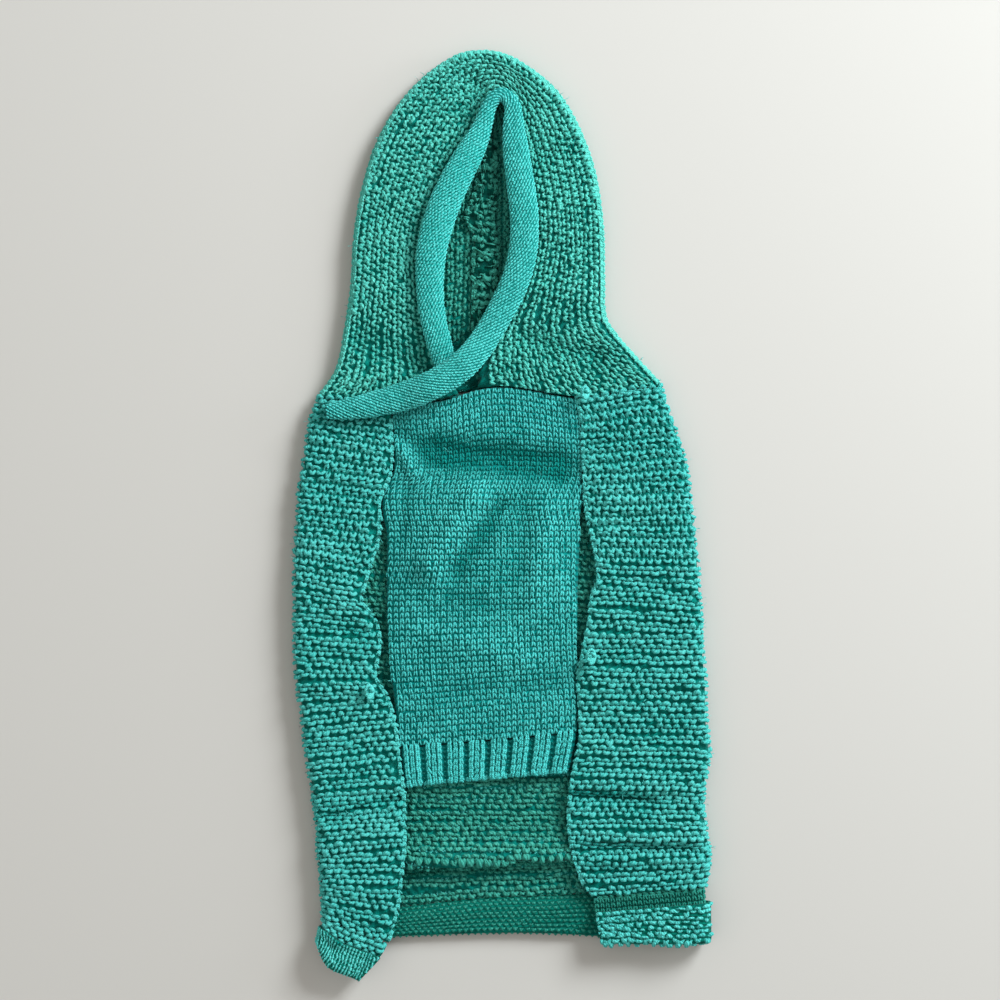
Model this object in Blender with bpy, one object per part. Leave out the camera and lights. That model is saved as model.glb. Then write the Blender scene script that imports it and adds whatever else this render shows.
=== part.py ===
"""Hooded knitted dog coat, laid flat on its back with the belly side up.

Sizes are millimetres in the tables and metres in the finished meshes.
X runs across the coat, Y towards the top of the hood, Z up from the floor.
Every solid is one knitted piece with a real wall. The back, its two side
flaps and the hood are sheets that fold over at the outline of the coat, so
their sections are C shapes with the air between the layers left open.
"""
from typing import NamedTuple

import bmesh
import bpy
import numpy as np
from mathutils import Vector

MM = 0.001
OBJECT_NAME = "dog_hoodie"

# Walls and clearances
WALL = 2.4              # garter stitch of the back and the hood
FINE_WALL = 1.6         # stockinette of the belly and the tail hem
ROLL_WALL = 1.2         # fine stockinette of the rolled hood band
ALLOWANCE_WALL = 1.1    # the two seamed edges inside the hood, pressed flat
SEAM_GAP = 0.3          # air left between two pieces at a seam
SEAM_CLEAR = 0.8        # the same along the flap edges, which lean over a little
LAYER_GAP = 0.4         # air left between a layer and the one it lies on
TURN_DEPTH = 1.0        # how far a fold reaches out, over its own half height

# Mesh steps
BODY_ROWS = 50
BODY_STEPS = (6, 4, 5)      # on a flap, round its fold, half of the back
HOOD_ROWS = 46
HOOD_STEPS = (8, 4, 9)      # on top, round the fold, underneath
BELLY_GRID = (26, 15)
RIB_ROWS = 4
RIB_STEPS = 6               # columns to a rib
BAND_STATIONS = 54
BAND_POINTS = 11
HEM_LEG = 3
HEM_STEPS = (5, 4, 5)
SEAM_STATIONS = 24
SEAM_POINTS = 6


class Section(NamedTuple):
    """One knitted row of the back, from flap edge to flap edge."""

    left_edge: tuple
    left_fold: tuple
    right_fold: tuple
    right_edge: tuple
    middle_y: float
    left_height: float
    right_height: float


BODY = (
    Section((-40.5, 42.0), (-68.5, 43.5), (59.5, 47.5), (27.5, 43.5), 45.5, 6.2, 6.2),
    Section((-41.0, 33.0), (-71.5, 37.0), (62.5, 38.5), (29.0, 35.0), 37.0, 6.0, 6.4),
    Section((-40.5, 23.0), (-73.0, 28.5), (66.0, 28.5), (29.5, 25.5), 27.5, 6.2, 6.6),
    Section((-41.5, 14.5), (-74.5, 18.5), (69.0, 18.5), (30.0, 16.5), 18.0, 6.4, 6.6),
    Section((-45.0, 6.5), (-76.0, 10.0), (70.0, 10.0), (30.0, 8.5), 9.5, 6.6, 6.4),
    Section((-45.0, -2.0), (-76.5, 1.0), (71.0, 1.0), (31.0, 0.0), 0.5, 6.6, 6.4),
    Section((-46.0, -10.5), (-77.0, -6.5), (72.0, -8.0), (33.0, -8.0), -8.5, 6.6, 6.6),
    Section((-48.5, -17.5), (-77.5, -13.0), (73.0, -17.0), (34.5, -16.0), -17.0, 6.8, 6.8),
    Section((-50.5, -25.0), (-77.5, -20.0), (73.5, -25.0), (35.0, -23.0), -25.0, 7.0, 6.8),
    Section((-52.0, -30.5), (-77.5, -26.0), (74.0, -31.5), (32.5, -29.5), -31.0, 7.2, 6.6),
    Section((-49.5, -34.5), (-77.5, -32.0), (74.5, -38.0), (32.0, -36.0), -37.0, 7.2, 6.6),
    Section((-46.0, -40.0), (-77.5, -38.0), (74.5, -44.0), (31.0, -42.5), -43.0, 7.0, 6.6),
    Section((-45.0, -47.0), (-77.5, -44.5), (75.0, -50.0), (29.5, -49.5), -49.5, 6.8, 6.6),
    Section((-46.0, -53.5), (-77.5, -51.0), (75.5, -56.0), (28.5, -54.5), -55.5, 6.6, 6.6),
    Section((-46.5, -60.0), (-77.0, -60.0), (76.0, -62.5), (27.5, -61.0), -62.5, 6.6, 6.6),
    Section((-42.5, -66.5), (-75.5, -68.5), (76.0, -70.0), (28.0, -69.5), -70.0, 6.6, 6.6),
    Section((-40.0, -74.0), (-74.5, -77.5), (76.5, -79.0), (28.5, -78.5), -79.0, 6.8, 6.6),
    Section((-38.5, -83.0), (-73.5, -86.5), (77.5, -88.0), (27.5, -87.0), -88.0, 7.0, 6.8),
    Section((-37.5, -93.0), (-72.0, -96.0), (76.0, -97.0), (25.5, -96.0), -97.0, 7.2, 7.0),
    Section((-36.0, -103.0), (-70.5, -105.5), (75.0, -105.5), (24.5, -104.5), -106.0, 7.2, 7.2),
    Section((-36.0, -113.0), (-69.0, -115.0), (76.0, -114.0), (24.0, -113.0), -115.0, 7.2, 7.4),
    Section((-36.0, -122.5), (-69.0, -124.0), (77.0, -121.5), (25.0, -121.5), -123.5, 7.4, 7.6),
    Section((-37.0, -132.0), (-68.0, -132.0), (77.5, -127.5), (27.0, -129.0), -130.5, 7.6, 7.6),
    Section((-38.5, -144.5), (-67.5, -139.5), (76.5, -132.5), (29.5, -135.5), -136.0, 7.8, 7.4),
    Section((-42.0, -157.5), (-66.5, -147.0), (75.5, -137.0), (33.5, -140.5), -141.0, 7.6, 7.2),
)

# The fine tail hem carries the rows on, then turns outwards and back on itself
HEM = (
    Section((-42.5, -158.2), (-66.8, -147.6), (75.5, -137.6), (33.6, -141.1), -141.6, 7.6, 7.2),
    Section((-45.0, -162.5), (-66.0, -151.0), (75.7, -142.5), (34.2, -146.0), -145.2, 7.4, 7.0),
    Section((-51.5, -169.8), (-66.3, -155.0), (75.9, -156.0), (36.2, -156.2), -153.0, 7.0, 7.0),
)
HEM_LOW = (WALL / 2, 2.8, 2.9)      # middle of its lower layer at each row above
HEM_TURN = 1.0                      # radius of the turn at its free edge
HEM_RETURN = 0.62                   # share of its length that comes back up


class HoodRow(NamedTuple):
    """One knitted row of the hood, from the face opening round to the seam."""

    edge: tuple
    outline: tuple
    seam: tuple
    edge_height: float
    fold_height: float


HOOD = (
    HoodRow((-16.0, 43.5), (-68.5, 44.2), (-5.2, 46.2), 4.3, 5.8),
    HoodRow((-20.0, 52.0), (-62.0, 53.5), (-5.2, 58.0), 4.4, 5.9),
    HoodRow((-24.0, 66.0), (-59.0, 66.5), (-5.2, 72.0), 4.8, 6.0),
    HoodRow((-26.5, 84.0), (-56.2, 85.0), (-5.2, 89.0), 5.0, 6.0),
    HoodRow((-26.5, 101.5), (-55.0, 104.5), (-5.2, 106.0), 5.1, 6.0),
    HoodRow((-22.0, 118.0), (-51.5, 123.5), (-5.2, 121.0), 5.2, 6.0),
    HoodRow((-15.0, 132.0), (-45.5, 141.0), (-5.2, 135.0), 5.2, 6.0),
    HoodRow((-8.0, 145.0), (-34.5, 157.5), (-5.2, 147.0), 5.3, 5.9),
    HoodRow((-3.5, 152.5), (-19.0, 170.0), (-5.2, 153.5), 5.3, 5.7),
    HoodRow((-0.5, 155.0), (-6.0, 172.6), (-5.0, 156.5), 5.3, 5.7),
    HoodRow((2.0, 152.5), (6.0, 169.0), (-4.8, 153.5), 5.3, 5.7),
    HoodRow((4.5, 141.5), (20.5, 157.5), (-4.8, 147.0), 5.3, 5.9),
    HoodRow((6.0, 128.0), (29.5, 142.0), (-4.8, 135.0), 5.2, 6.0),
    HoodRow((8.0, 114.0), (35.0, 125.5), (-4.8, 121.0), 5.2, 6.0),
    HoodRow((8.0, 99.5), (37.6, 106.0), (-4.8, 106.0), 5.2, 6.2),
    HoodRow((3.5, 84.5), (38.0, 87.5), (-4.8, 89.0), 5.5, 6.2),
    HoodRow((-3.5, 70.5), (39.0, 72.5), (-4.8, 72.0), 5.8, 6.2),
    HoodRow((-8.0, 58.0), (49.0, 59.5), (-4.8, 58.0), 5.8, 6.0),
    HoodRow((-9.0, 48.5), (59.5, 48.2), (-4.8, 46.2), 5.6, 5.8),
)


class NeckPoint(NamedTuple):
    """Where the neck seam runs across the upper layer."""

    x: float
    y: float


NECK = (
    NeckPoint(-72.0, 44.0), NeckPoint(-56.0, 43.0), NeckPoint(-32.0, 41.8),
    NeckPoint(-21.0, 43.0), NeckPoint(-9.0, 47.2), NeckPoint(0.0, 48.0),
    NeckPoint(9.0, 47.0), NeckPoint(18.0, 45.2), NeckPoint(28.0, 43.8),
    NeckPoint(38.0, 45.0), NeckPoint(48.0, 47.0), NeckPoint(62.0, 48.0),
)
NECK_ROWS = 7           # rows over which a piece bends to meet the neck seam


class BellyRow(NamedTuple):
    """One course of the belly: its height up the coat, its ends, its rise."""

    y: float
    left: float
    right: float
    rise: float


BELLY = (
    BellyRow(44.0, -40.0, 27.0, 0.4), BellyRow(28.0, -39.5, 28.5, 1.4),
    BellyRow(16.5, -39.5, 29.0, 1.0), BellyRow(8.5, -43.5, 29.0, 1.8),
    BellyRow(0.0, -43.5, 28.0, 2.4), BellyRow(-8.0, -42.0, 27.8, 2.6),
    BellyRow(-31.5, -42.0, 27.0, 1.8), BellyRow(-50.0, -41.0, 26.8, 1.2),
    BellyRow(-65.0, -39.0, 27.5, 0.8), BellyRow(-79.8, -38.0, 27.0, 0.3),
)
BELLY_DROP = 5.5        # how much lower its left end sits than its right end
RIB_LENGTH = 14.2
RIB_COUNT = 8
RIB_RAISE = 1.1
RIB_SHARE = 0.66        # of the pitch that is rib, the rest is groove


class Crease(NamedTuple):
    """A soft trough (minus) or welt (plus) along a line across the cloth."""

    start: tuple
    end: tuple
    height: float
    width: float


FLAP_CREASES = (
    Crease((26.0, -102.5), (56.0, -104.5), -1.6, 2.2),      # right flap, waist fold
    Crease((28.0, -97.0), (74.0, -98.5), 0.7, 2.6),
    Crease((30.0, -116.5), (74.0, -117.5), 0.8, 2.2),
    Crease((28.0, -120.5), (72.0, -122.0), -1.0, 1.8),
    Crease((-66.0, -110.0), (-37.0, -104.5), -1.5, 2.2),    # left flap, waist fold
    Crease((-66.0, -105.5), (-42.0, -101.5), 0.7, 2.2),
    Crease((-66.0, -116.0), (-42.0, -112.0), 0.6, 2.4),
    Crease((-58.0, -24.0), (-50.0, -36.0), 1.0, 4.0),       # left armhole bunching
    Crease((-62.0, -41.0), (-47.0, -44.0), -0.7, 2.6),
    Crease((36.0, -50.0), (52.0, -46.0), -0.6, 2.6),
)
TUCK = Crease((-36.0, -129.5), (30.0, -126.5), 2.6, 0.0)    # pleat across the tail
TUCK_LENGTH = 17.0      # slope that leads up to it
TUCK_STEP = 3.4         # steep side that drops from it
BELLY_CREASES = (
    Crease((-23.0, 24.0), (21.0, 18.0), -1.1, 5.0),
    Crease((-8.0, 8.0), (-27.0, -17.0), 1.2, 6.0),
    Crease((8.0, 4.0), (6.0, -24.0), -1.0, 5.0),
    Crease((20.0, 8.0), (14.0, -30.0), 0.6, 5.0),
)
HOOD_CREASES = (
    Crease((-52.0, 66.0), (-34.0, 58.0), -0.9, 6.0),
    Crease((8.0, 66.0), (36.0, 58.0), -0.9, 4.0),
    Crease((-12.0, 159.0), (-14.0, 138.0), -0.8, 4.0),
    Crease((30.0, 84.0), (18.0, 118.0), 0.6, 7.0),
)


class BandStation(NamedTuple):
    """A place along the rolled band with half its width there."""

    x: float
    y: float
    half: float


BAND = (
    BandStation(-20.5, 54.5, 4.2), BandStation(-23.0, 63.0, 4.8),
    BandStation(-25.5, 73.0, 5.0), BandStation(-26.7, 85.0, 5.3),
    BandStation(-26.0, 98.0, 5.8), BandStation(-22.5, 111.5, 6.0),
    BandStation(-17.0, 124.5, 5.8), BandStation(-11.0, 135.5, 5.2),
    BandStation(-7.2, 144.0, 3.8), BandStation(-5.2, 150.5, 3.2),
    BandStation(-3.0, 154.2, 3.0), BandStation(-0.5, 155.4, 3.0),
    BandStation(2.0, 154.2, 3.0), BandStation(3.9, 150.5, 3.4),
    BandStation(4.2, 144.0, 4.2), BandStation(4.9, 135.5, 5.0),
    BandStation(6.4, 124.5, 5.4), BandStation(8.0, 111.5, 5.5),
    BandStation(7.8, 99.0, 5.5), BandStation(5.3, 88.0, 5.5),
    BandStation(1.0, 78.5, 5.4), BandStation(-4.5, 68.5, 5.2),
    BandStation(-11.0, 59.0, 5.5), BandStation(-19.0, 52.0, 5.6),
    BandStation(-28.5, 47.0, 5.6), BandStation(-38.0, 43.7, 5.4),
    BandStation(-48.0, 41.2, 4.9), BandStation(-57.5, 39.4, 4.0),
    BandStation(-65.0, 38.6, 2.9),
)
BAND_HIGH = 0.46        # half its height over half its width
BAND_SLIT = 26.0        # degrees left open underneath, where it is sewn on
BAND_WIDTH = 11.0
BAND_CROSSING = 0.72    # place along it after which it lies over its own start
BAND_REACH = 1.0        # how far past its sides the band looks for what it lies on
BAND_SMOOTHING = 3      # passes that ease its rises along its length
BAND_LEAST = 1.8        # least half height, so that the roll stays hollow


class SeamStation(NamedTuple):
    """A place along the seam allowance inside the back of the hood."""

    y: float
    x: float
    half: float
    high: float


SEAM_ALLOWANCE = (
    SeamStation(140.0, -5.5, 2.6, 1.6), SeamStation(122.0, -6.0, 3.6, 1.9),
    SeamStation(111.0, -8.5, 5.2, 2.3), SeamStation(105.0, -6.5, 4.0, 2.0),
    SeamStation(97.0, -6.0, 4.6, 2.2), SeamStation(89.0, -6.8, 4.2, 2.1),
    SeamStation(81.0, -6.0, 4.8, 2.0), SeamStation(72.0, -7.0, 4.2, 1.6),
    SeamStation(60.0, -6.4, 3.8, 1.3), SeamStation(50.0, -6.0, 3.0, 1.2),
)

# Finishes: name, linear colour, roughness
GARTER_KNIT = ("teal_garter_knit", (0.026, 0.270, 0.235), 0.92)
BELLY_KNIT = ("teal_stockinette", (0.027, 0.285, 0.255), 0.90)
BAND_KNIT = ("light_teal_fine_knit", (0.045, 0.440, 0.410), 0.90)
HEM_KNIT = ("teal_hem_knit", (0.024, 0.250, 0.215), 0.90)


def resample(rows, count):
    """Read a table's rows as smooth curves at evenly spaced places."""
    table = np.array([np.hstack(row) for row in rows], dtype=float)
    place = np.linspace(0, len(table) - 1, count)
    low = np.clip(place.astype(int), 0, len(table) - 2)
    part = (place - low)[:, None]
    before, start = table[np.clip(low - 1, 0, None)], table[low]
    end, after = table[low + 1], table[np.clip(low + 2, None, len(table) - 1)]
    return 0.5 * (
        2 * start
        + (end - before) * part
        + (2 * before - 5 * start + 4 * end - after) * part**2
        + (3 * start - before - 3 * end + after) * part**3
    )


def unit(vectors):
    """Scale vectors to length one."""
    return vectors / np.maximum(np.linalg.norm(vectors, axis=-1, keepdims=True), 1e-9)


def smooth_step(share):
    """Ease a share from 0 to 1."""
    share = np.clip(share, 0.0, 1.0)
    return share * share * (3 - 2 * share)


def neck_y(x):
    """Height up the coat of the neck seam at a place across it."""
    return np.interp(x, [p.x for p in NECK], [p.y for p in NECK])


def fold_over(edge, fold, middle, heights, steps):
    """Rows that run out over a layer, round a fold and back underneath.

    edge, fold, middle: the (rows, 2) places in plan of the row's free end, of
    the outermost point of its fold and of its end underneath.
    heights: (edge, fold, low) heights of the middle of the wall.
    Returns a (rows, columns, 3) grid of the middle of the wall.
    """
    edge_height, fold_height, low_height = heights
    out_top, out_low = unit(fold - edge), unit(fold - middle)
    half = (fold_height - low_height) / 2
    reach = (half * TURN_DEPTH)[:, None]
    columns = []
    turn_start = fold - out_top * (reach + WALL / 2)
    for share in np.linspace(0, 1, steps[0], endpoint=False):
        plan = edge + (turn_start - edge) * share
        puff = 0.35 * np.sin(np.pi * share)
        height = edge_height + (fold_height - edge_height) * share + puff
        columns.append(np.column_stack((plan, height)))
    for angle in np.linspace(np.pi / 2, -np.pi / 2, steps[1] + 1):
        blend = (1 - np.sin(angle)) / 2
        out = unit(out_top * (1 - blend) + out_low * blend)
        plan = fold - out * (reach * (1 - np.cos(angle)) + WALL / 2)
        height = low_height + half * (1 + np.sin(angle))
        columns.append(np.column_stack((plan, height)))
    turn_end = fold - out_low * (reach + WALL / 2)
    for share in np.linspace(0, 1, steps[2] + 1)[1:]:
        across = turn_end[:, 0] + (middle[:, 0] - turn_end[:, 0]) * share
        along = turn_end[:, 1] + (middle[:, 1] - turn_end[:, 1]) * smooth_step(share)
        columns.append(np.column_stack((across, along, low_height)))
    return np.stack(columns, axis=1)


def crease_height(points, creases):
    """Sum of the soft troughs and welts at points in plan."""
    total = np.zeros(points.shape[:-1])
    for crease in creases:
        start, end = np.array(crease.start), np.array(crease.end)
        line = end - start
        share = np.clip((points - start) @ line / (line @ line), 0, 1)
        off = np.linalg.norm(points - start - share[..., None] * line, axis=-1)
        total += crease.height * np.exp(-((off / crease.width) ** 2))
    return total


def tuck_height(points):
    """Rise of the back layer at the pleat across the tail."""
    start, end = np.array(TUCK.start), np.array(TUCK.end)
    slope = (end[1] - start[1]) / (end[0] - start[0])
    above = points[..., 1] - (start[1] + slope * (points[..., 0] - start[0]))
    lead = smooth_step(1 - above / TUCK_LENGTH)
    drop = smooth_step((above + TUCK_STEP) / TUCK_STEP)
    inside = smooth_step((points[..., 0] - start[0] + 6) / 12)
    inside = inside * smooth_step((end[0] + 2 - points[..., 0]) / 12)
    return TUCK.height * lead * drop * inside


def back_grid(sections=BODY, rows=BODY_ROWS, steps=BODY_STEPS, low=None):
    """Middle of the wall of the back with its two flaps."""
    table = resample(sections, rows)
    left_edge, left_fold = table[:, 0:2], table[:, 2:4]
    right_fold, right_edge = table[:, 4:6], table[:, 6:8]
    middle = np.column_stack(((left_fold[:, 0] + right_fold[:, 0]) / 2, table[:, 8]))
    low = np.full(rows, WALL / 2) if low is None else low
    edge_drop = 1.2
    left = fold_over(left_edge, left_fold, middle,
                     (table[:, 9] - edge_drop, table[:, 9], low), steps)
    right = fold_over(right_edge, right_fold, middle,
                      (table[:, 10] - edge_drop, table[:, 10], low), steps)
    return np.concatenate((left, right[:, -2::-1]), axis=1)


def shape_back(grid, steps=BODY_STEPS):
    """Lay the creases into the flaps, the tuck into the back, meet the neck."""
    ends = steps[0] + 1
    least = WALL * 1.5 + LAYER_GAP
    for part in (slice(0, ends), slice(-ends, None)):
        flap = grid[:, part]
        flap[..., 2] += crease_height(flap[..., :2], FLAP_CREASES)
        flap[..., 2] = np.maximum(flap[..., 2], least)
        bend_to_neck(flap, SEAM_GAP / -2)
    first = steps[0] + steps[1] + 1
    back = grid[:, first:-first]
    back[..., 2] += tuck_height(back[..., :2])
    return grid


def bend_to_neck(rows, offset):
    """Bend the first rows of an upper layer so that row 0 lies on the neck seam."""
    shift = neck_y(rows[0, :, 0]) + offset - rows[0, :, 1]
    for index in range(NECK_ROWS):
        rows[index, :, 1] += shift * smooth_step(1 - index / NECK_ROWS)


def hood_grid(rows=HOOD_ROWS, steps=HOOD_STEPS):
    """Middle of the wall of the hood, left neck round the crown to right neck."""
    table = resample(HOOD, rows)
    low = np.full(rows, WALL / 2)
    grid = fold_over(table[:, 0:2], table[:, 2:4], table[:, 4:6],
                     (table[:, 6], table[:, 7], low), steps)
    top = grid[:, :steps[0] + 1]
    top[..., 2] += crease_height(top[..., :2], HOOD_CREASES)
    top[..., 2] = np.maximum(top[..., 2], WALL * 1.5 + LAYER_GAP)
    bend_to_neck(top, SEAM_GAP)
    bend_to_neck(top[::-1], SEAM_GAP)
    return grid


def edge_at(grid, column, y):
    """Place across the coat of a flap's edge at heights up the coat."""
    line = grid[:, column]
    order = np.argsort(line[:, 1])
    return np.interp(y, line[order, 1], line[order, 0])


def belly_ends(back, y, left, right):
    """Ends of a belly course, kept a seam's gap clear of the flap edges."""
    left = np.maximum(left, edge_at(back, 0, y) + SEAM_CLEAR)
    right = np.minimum(right, edge_at(back, -1, y) - SEAM_CLEAR)
    return left, right


def belly_grid(back):
    """Middle of the wall of the belly panel above its rib."""
    rows, columns = BELLY_GRID
    table = resample(BELLY, rows)
    share = np.linspace(0, 1, columns)
    tilt = BELLY_DROP * smooth_step(-table[:, 0] / 80)
    y_left, y_right = table[:, 0] - tilt, table[:, 0]
    left, right = belly_ends(back, (y_left + y_right) / 2, table[:, 1], table[:, 2])
    grid = np.empty((rows, columns, 3))
    grid[..., 0] = left[:, None] + (right - left)[:, None] * share
    grid[..., 1] = y_left[:, None] + (y_right - y_left)[:, None] * share
    bulge = np.sin(np.pi * share) ** 0.6
    floor = WALL + FINE_WALL / 2 + LAYER_GAP
    grid[..., 2] = floor + 0.9 + table[:, 3][:, None] * bulge
    grid[..., 2] += crease_height(grid[..., :2], BELLY_CREASES)
    grid[..., 2] = np.maximum(grid[..., 2], floor)
    bend_to_neck(grid, -SEAM_GAP)
    return grid


def rib_grid(belly, back):
    """Middle of the wall of the ribbed hem, with how far each rib is raised."""
    last = belly[-1]
    columns = RIB_COUNT * RIB_STEPS + 1
    share = np.linspace(0, 1, columns)
    grid = np.empty((RIB_ROWS, columns, 3))
    for index in range(RIB_ROWS):
        down = RIB_LENGTH * index / (RIB_ROWS - 1) + SEAM_GAP
        start, end = last[0] - (0, down, 0), last[-1] - (0, down, 0)
        start[0], end[0] = belly_ends(back, start[1] + 3.0, start[0], end[0] + 3.0)
        end[0] = min(end[0], belly_ends(back, end[1], start[0], end[0])[1])
        grid[index] = start + (end - start) * share[:, None]
    place = (share * RIB_COUNT) % 1.0
    wave = np.abs(place - 0.5) * 2
    raised = RIB_RAISE * (1 - smooth_step((wave - RIB_SHARE + 0.25) / 0.5))
    return grid, np.tile(raised, (RIB_ROWS, 1))


def hem_grid():
    """Middle of the wall of the tail hem with its turned-out free edge."""
    rows = 2 * HEM_LEG + 1
    low = resample([(value,) for value in HEM_LOW], rows)[:, 0]
    leg = back_grid(HEM, rows, HEM_STEPS, low)
    out = grid_normals(leg)
    along = unit(leg[-1] - leg[-2])
    turned = []
    for angle in (0.3 * np.pi, 0.7 * np.pi):
        turned.append(leg[-1] + out[-1] * HEM_TURN * (1 - np.cos(angle))
                      + along * HEM_TURN * np.sin(angle))
    back = leg[::-1] + out[::-1] * 2 * HEM_TURN
    keep = int(round(rows * HEM_RETURN))
    return np.concatenate((leg, np.array(turned), back[:keep]), axis=0)


def grid_normals(grid):
    """Outward normals of a grid that is walked from a left edge over a fold."""
    across = np.gradient(grid, axis=1)
    along = np.gradient(grid, axis=0)
    return unit(np.cross(across, along))


def make_cloth(name, grid, wall, finish, facing=1, raised=None):
    """Build a closed sheet of cloth round a grid of the middle of its wall.

    facing: 1 where the grid's normals point outward, else -1.
    raised: how far each outer point stands up, over a plain inner face.
    """
    rows, columns = grid.shape[:2]
    normal = grid_normals(grid) * facing
    mesh = bmesh.new()
    bmesh.ops.create_grid(mesh, x_segments=columns - 1, y_segments=rows - 1, size=1)
    outer = list(mesh.verts)
    for vertex, place in zip(outer, (grid + normal * wall / 2).reshape(-1, 3)):
        vertex.co = place * MM
    mesh.normal_update()
    if outer[0].normal.dot(Vector(normal[0, 0])) < 0:
        bmesh.ops.reverse_faces(mesh, faces=mesh.faces)
    bmesh.ops.solidify(mesh, geom=mesh.faces, thickness=wall * MM)
    if raised is not None:
        mesh.verts.ensure_lookup_table()
        lifts = (normal * raised[..., None]).reshape(-1, 3) * MM
        for vertex, lift in zip(mesh.verts[:rows * columns], lifts):
            vertex.co += Vector(lift)
    return finish_object(name, mesh, finish)


def resting_height(points, x, y, reach):
    """Highest of a cloud of points within reach of a place in plan."""
    near = np.hypot(points[:, 0] - x, points[:, 1] - y) < reach
    return points[near, 2].max() if near.any() else 0.0


def band_path(hood, back):
    """Centre, half width and half height of the band at its stations."""
    path = resample(BAND, BAND_STATIONS)
    top = np.concatenate((hood[:, :HOOD_STEPS[0]].reshape(-1, 3),
                          back[:, :BODY_STEPS[0]].reshape(-1, 3)))
    high = np.maximum(path[:, 2] * BAND_HIGH, BAND_LEAST)
    floor = np.array([resting_height(top, x, y, half + BAND_REACH)
                      for x, y, half in path]) + WALL / 2 + SEAM_GAP
    for index in range(int(BAND_STATIONS * BAND_CROSSING), BAND_STATIONS):
        start = np.hypot(*(path[:14, :2] - path[index, :2]).T) < BAND_WIDTH
        if start.any():
            own_top = (floor[:14] + 2 * high[:14])[start].max()
            floor[index] = max(floor[index], own_top + SEAM_GAP)
    for _ in range(BAND_SMOOTHING):
        padded = np.pad(floor, 1, mode="edge")
        floor = np.maximum(floor, (padded[:-2] + padded[2:]) / 2)
    return np.column_stack((path[:, :2], floor + high)), path[:, 2], high


def band_grid(centre, half, high):
    """Middle of the wall of the rolled band, open along a slit underneath."""
    along = unit(np.gradient(centre, axis=0) * (1, 1, 0.3))
    side = unit(np.cross(along, (0, 0, 1)))
    up = np.cross(side, along)
    slit = np.radians(BAND_SLIT) / 2
    angles = np.linspace(slit - np.pi / 2, 1.5 * np.pi - slit, BAND_POINTS)
    wide = (half - ROLL_WALL / 2)[:, None, None] * np.cos(angles)[None, :, None]
    tall = (high - ROLL_WALL / 2)[:, None, None] * np.sin(angles)[None, :, None]
    return centre[:, None] + side[:, None] * wide + up[:, None] * tall


def allowance_grid():
    """Middle of the wall of the lumpy seam allowance inside the hood."""
    table = resample(SEAM_ALLOWANCE, SEAM_STATIONS)
    floor = WALL + LAYER_GAP + ALLOWANCE_WALL / 2
    share = np.linspace(-1, 1, SEAM_POINTS)
    grid = np.empty((SEAM_STATIONS, SEAM_POINTS, 3))
    grid[..., 0] = table[:, 1:2] + table[:, 2:3] * share
    grid[..., 1] = table[:, 0:1]
    hump = np.cos(share * np.pi / 2) ** 0.7
    grid[..., 2] = floor + (table[:, 3:4] - ALLOWANCE_WALL).clip(0) * hump
    return grid


def make_material(finish):
    """Make or find the Principled material of a finish."""
    name, colour, roughness = finish
    material = bpy.data.materials.get(name) or bpy.data.materials.new(name)
    material.use_nodes = True
    shader = material.node_tree.nodes["Principled BSDF"]
    shader.inputs["Base Color"].default_value = (*colour, 1.0)
    shader.inputs["Roughness"].default_value = roughness
    material.diffuse_color = (*colour, 1.0)
    return material


def finish_object(name, mesh, finish):
    """Turn a bmesh into an object of the collection, faces outward."""
    bmesh.ops.triangulate(mesh, faces=mesh.faces)
    data = bpy.data.meshes.new(name)
    mesh.to_mesh(data)
    mesh.free()
    data.materials.append(make_material(finish))
    item = bpy.data.objects.new(name, data)
    bpy.data.collections[OBJECT_NAME].objects.link(item)
    return item


def centre_on_floor(items):
    """Centre the coat over the origin and press what would sink onto the floor."""
    points = np.array([vertex.co for item in items for vertex in item.data.vertices])
    middle = (points.min(axis=0) + points.max(axis=0)) / 2
    shift = Vector((middle[0], middle[1], 0))
    for item in items:
        for vertex in item.data.vertices:
            vertex.co -= shift
            vertex.co.z = max(vertex.co.z, 0)


def clear_scene():
    """Remove what the scene starts with and add the part's collection."""
    for item in list(bpy.data.objects):
        bpy.data.objects.remove(item)
    collection = bpy.data.collections.new(OBJECT_NAME)
    bpy.context.scene.collection.children.link(collection)


def main():
    """Build every knitted piece of the coat."""
    clear_scene()
    back = shape_back(back_grid())
    hood = hood_grid()
    belly = belly_grid(back)
    rib, raised = rib_grid(belly, back)
    centre, half, high = band_path(hood, back)
    roll = band_grid(centre, half, high)
    items = [
        make_cloth("back_panel", back, WALL, GARTER_KNIT),
        make_cloth("hood", hood, WALL, GARTER_KNIT, -1),
        make_cloth("belly_panel", belly, FINE_WALL, BELLY_KNIT, -1),
        make_cloth("belly_rib", rib, FINE_WALL, BELLY_KNIT, -1, raised),
        make_cloth("tail_hem", hem_grid(), FINE_WALL, HEM_KNIT),
        make_cloth("hood_band", roll, ROLL_WALL, BAND_KNIT, -1),
        make_cloth("hood_back_seam", allowance_grid(), ALLOWANCE_WALL, GARTER_KNIT),
    ]
    centre_on_floor(items)


main()
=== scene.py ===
"""Knitted hooded dog coat, laid flat on its back, dressed in its yarn.

Every knitted piece is a thin cloth that lies on the form of its solid, with
the stitches of the real knit laid on the sides that show: garter stitch on
the flaps, the inside of the back and the hood, stockinette on the belly and
the rolled band, and purl bumps on the tail hem. Sizes in the tables are
millimetres; meshes are metres. X runs across the coat, Y towards the top of
the hood, Z up from the surface that it lies on.
"""
import logging
import math
from dataclasses import dataclass
from enum import Enum
from typing import NamedTuple, Sequence

import bmesh
import bpy
import numpy as np
from mathutils import Matrix, Vector


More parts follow.
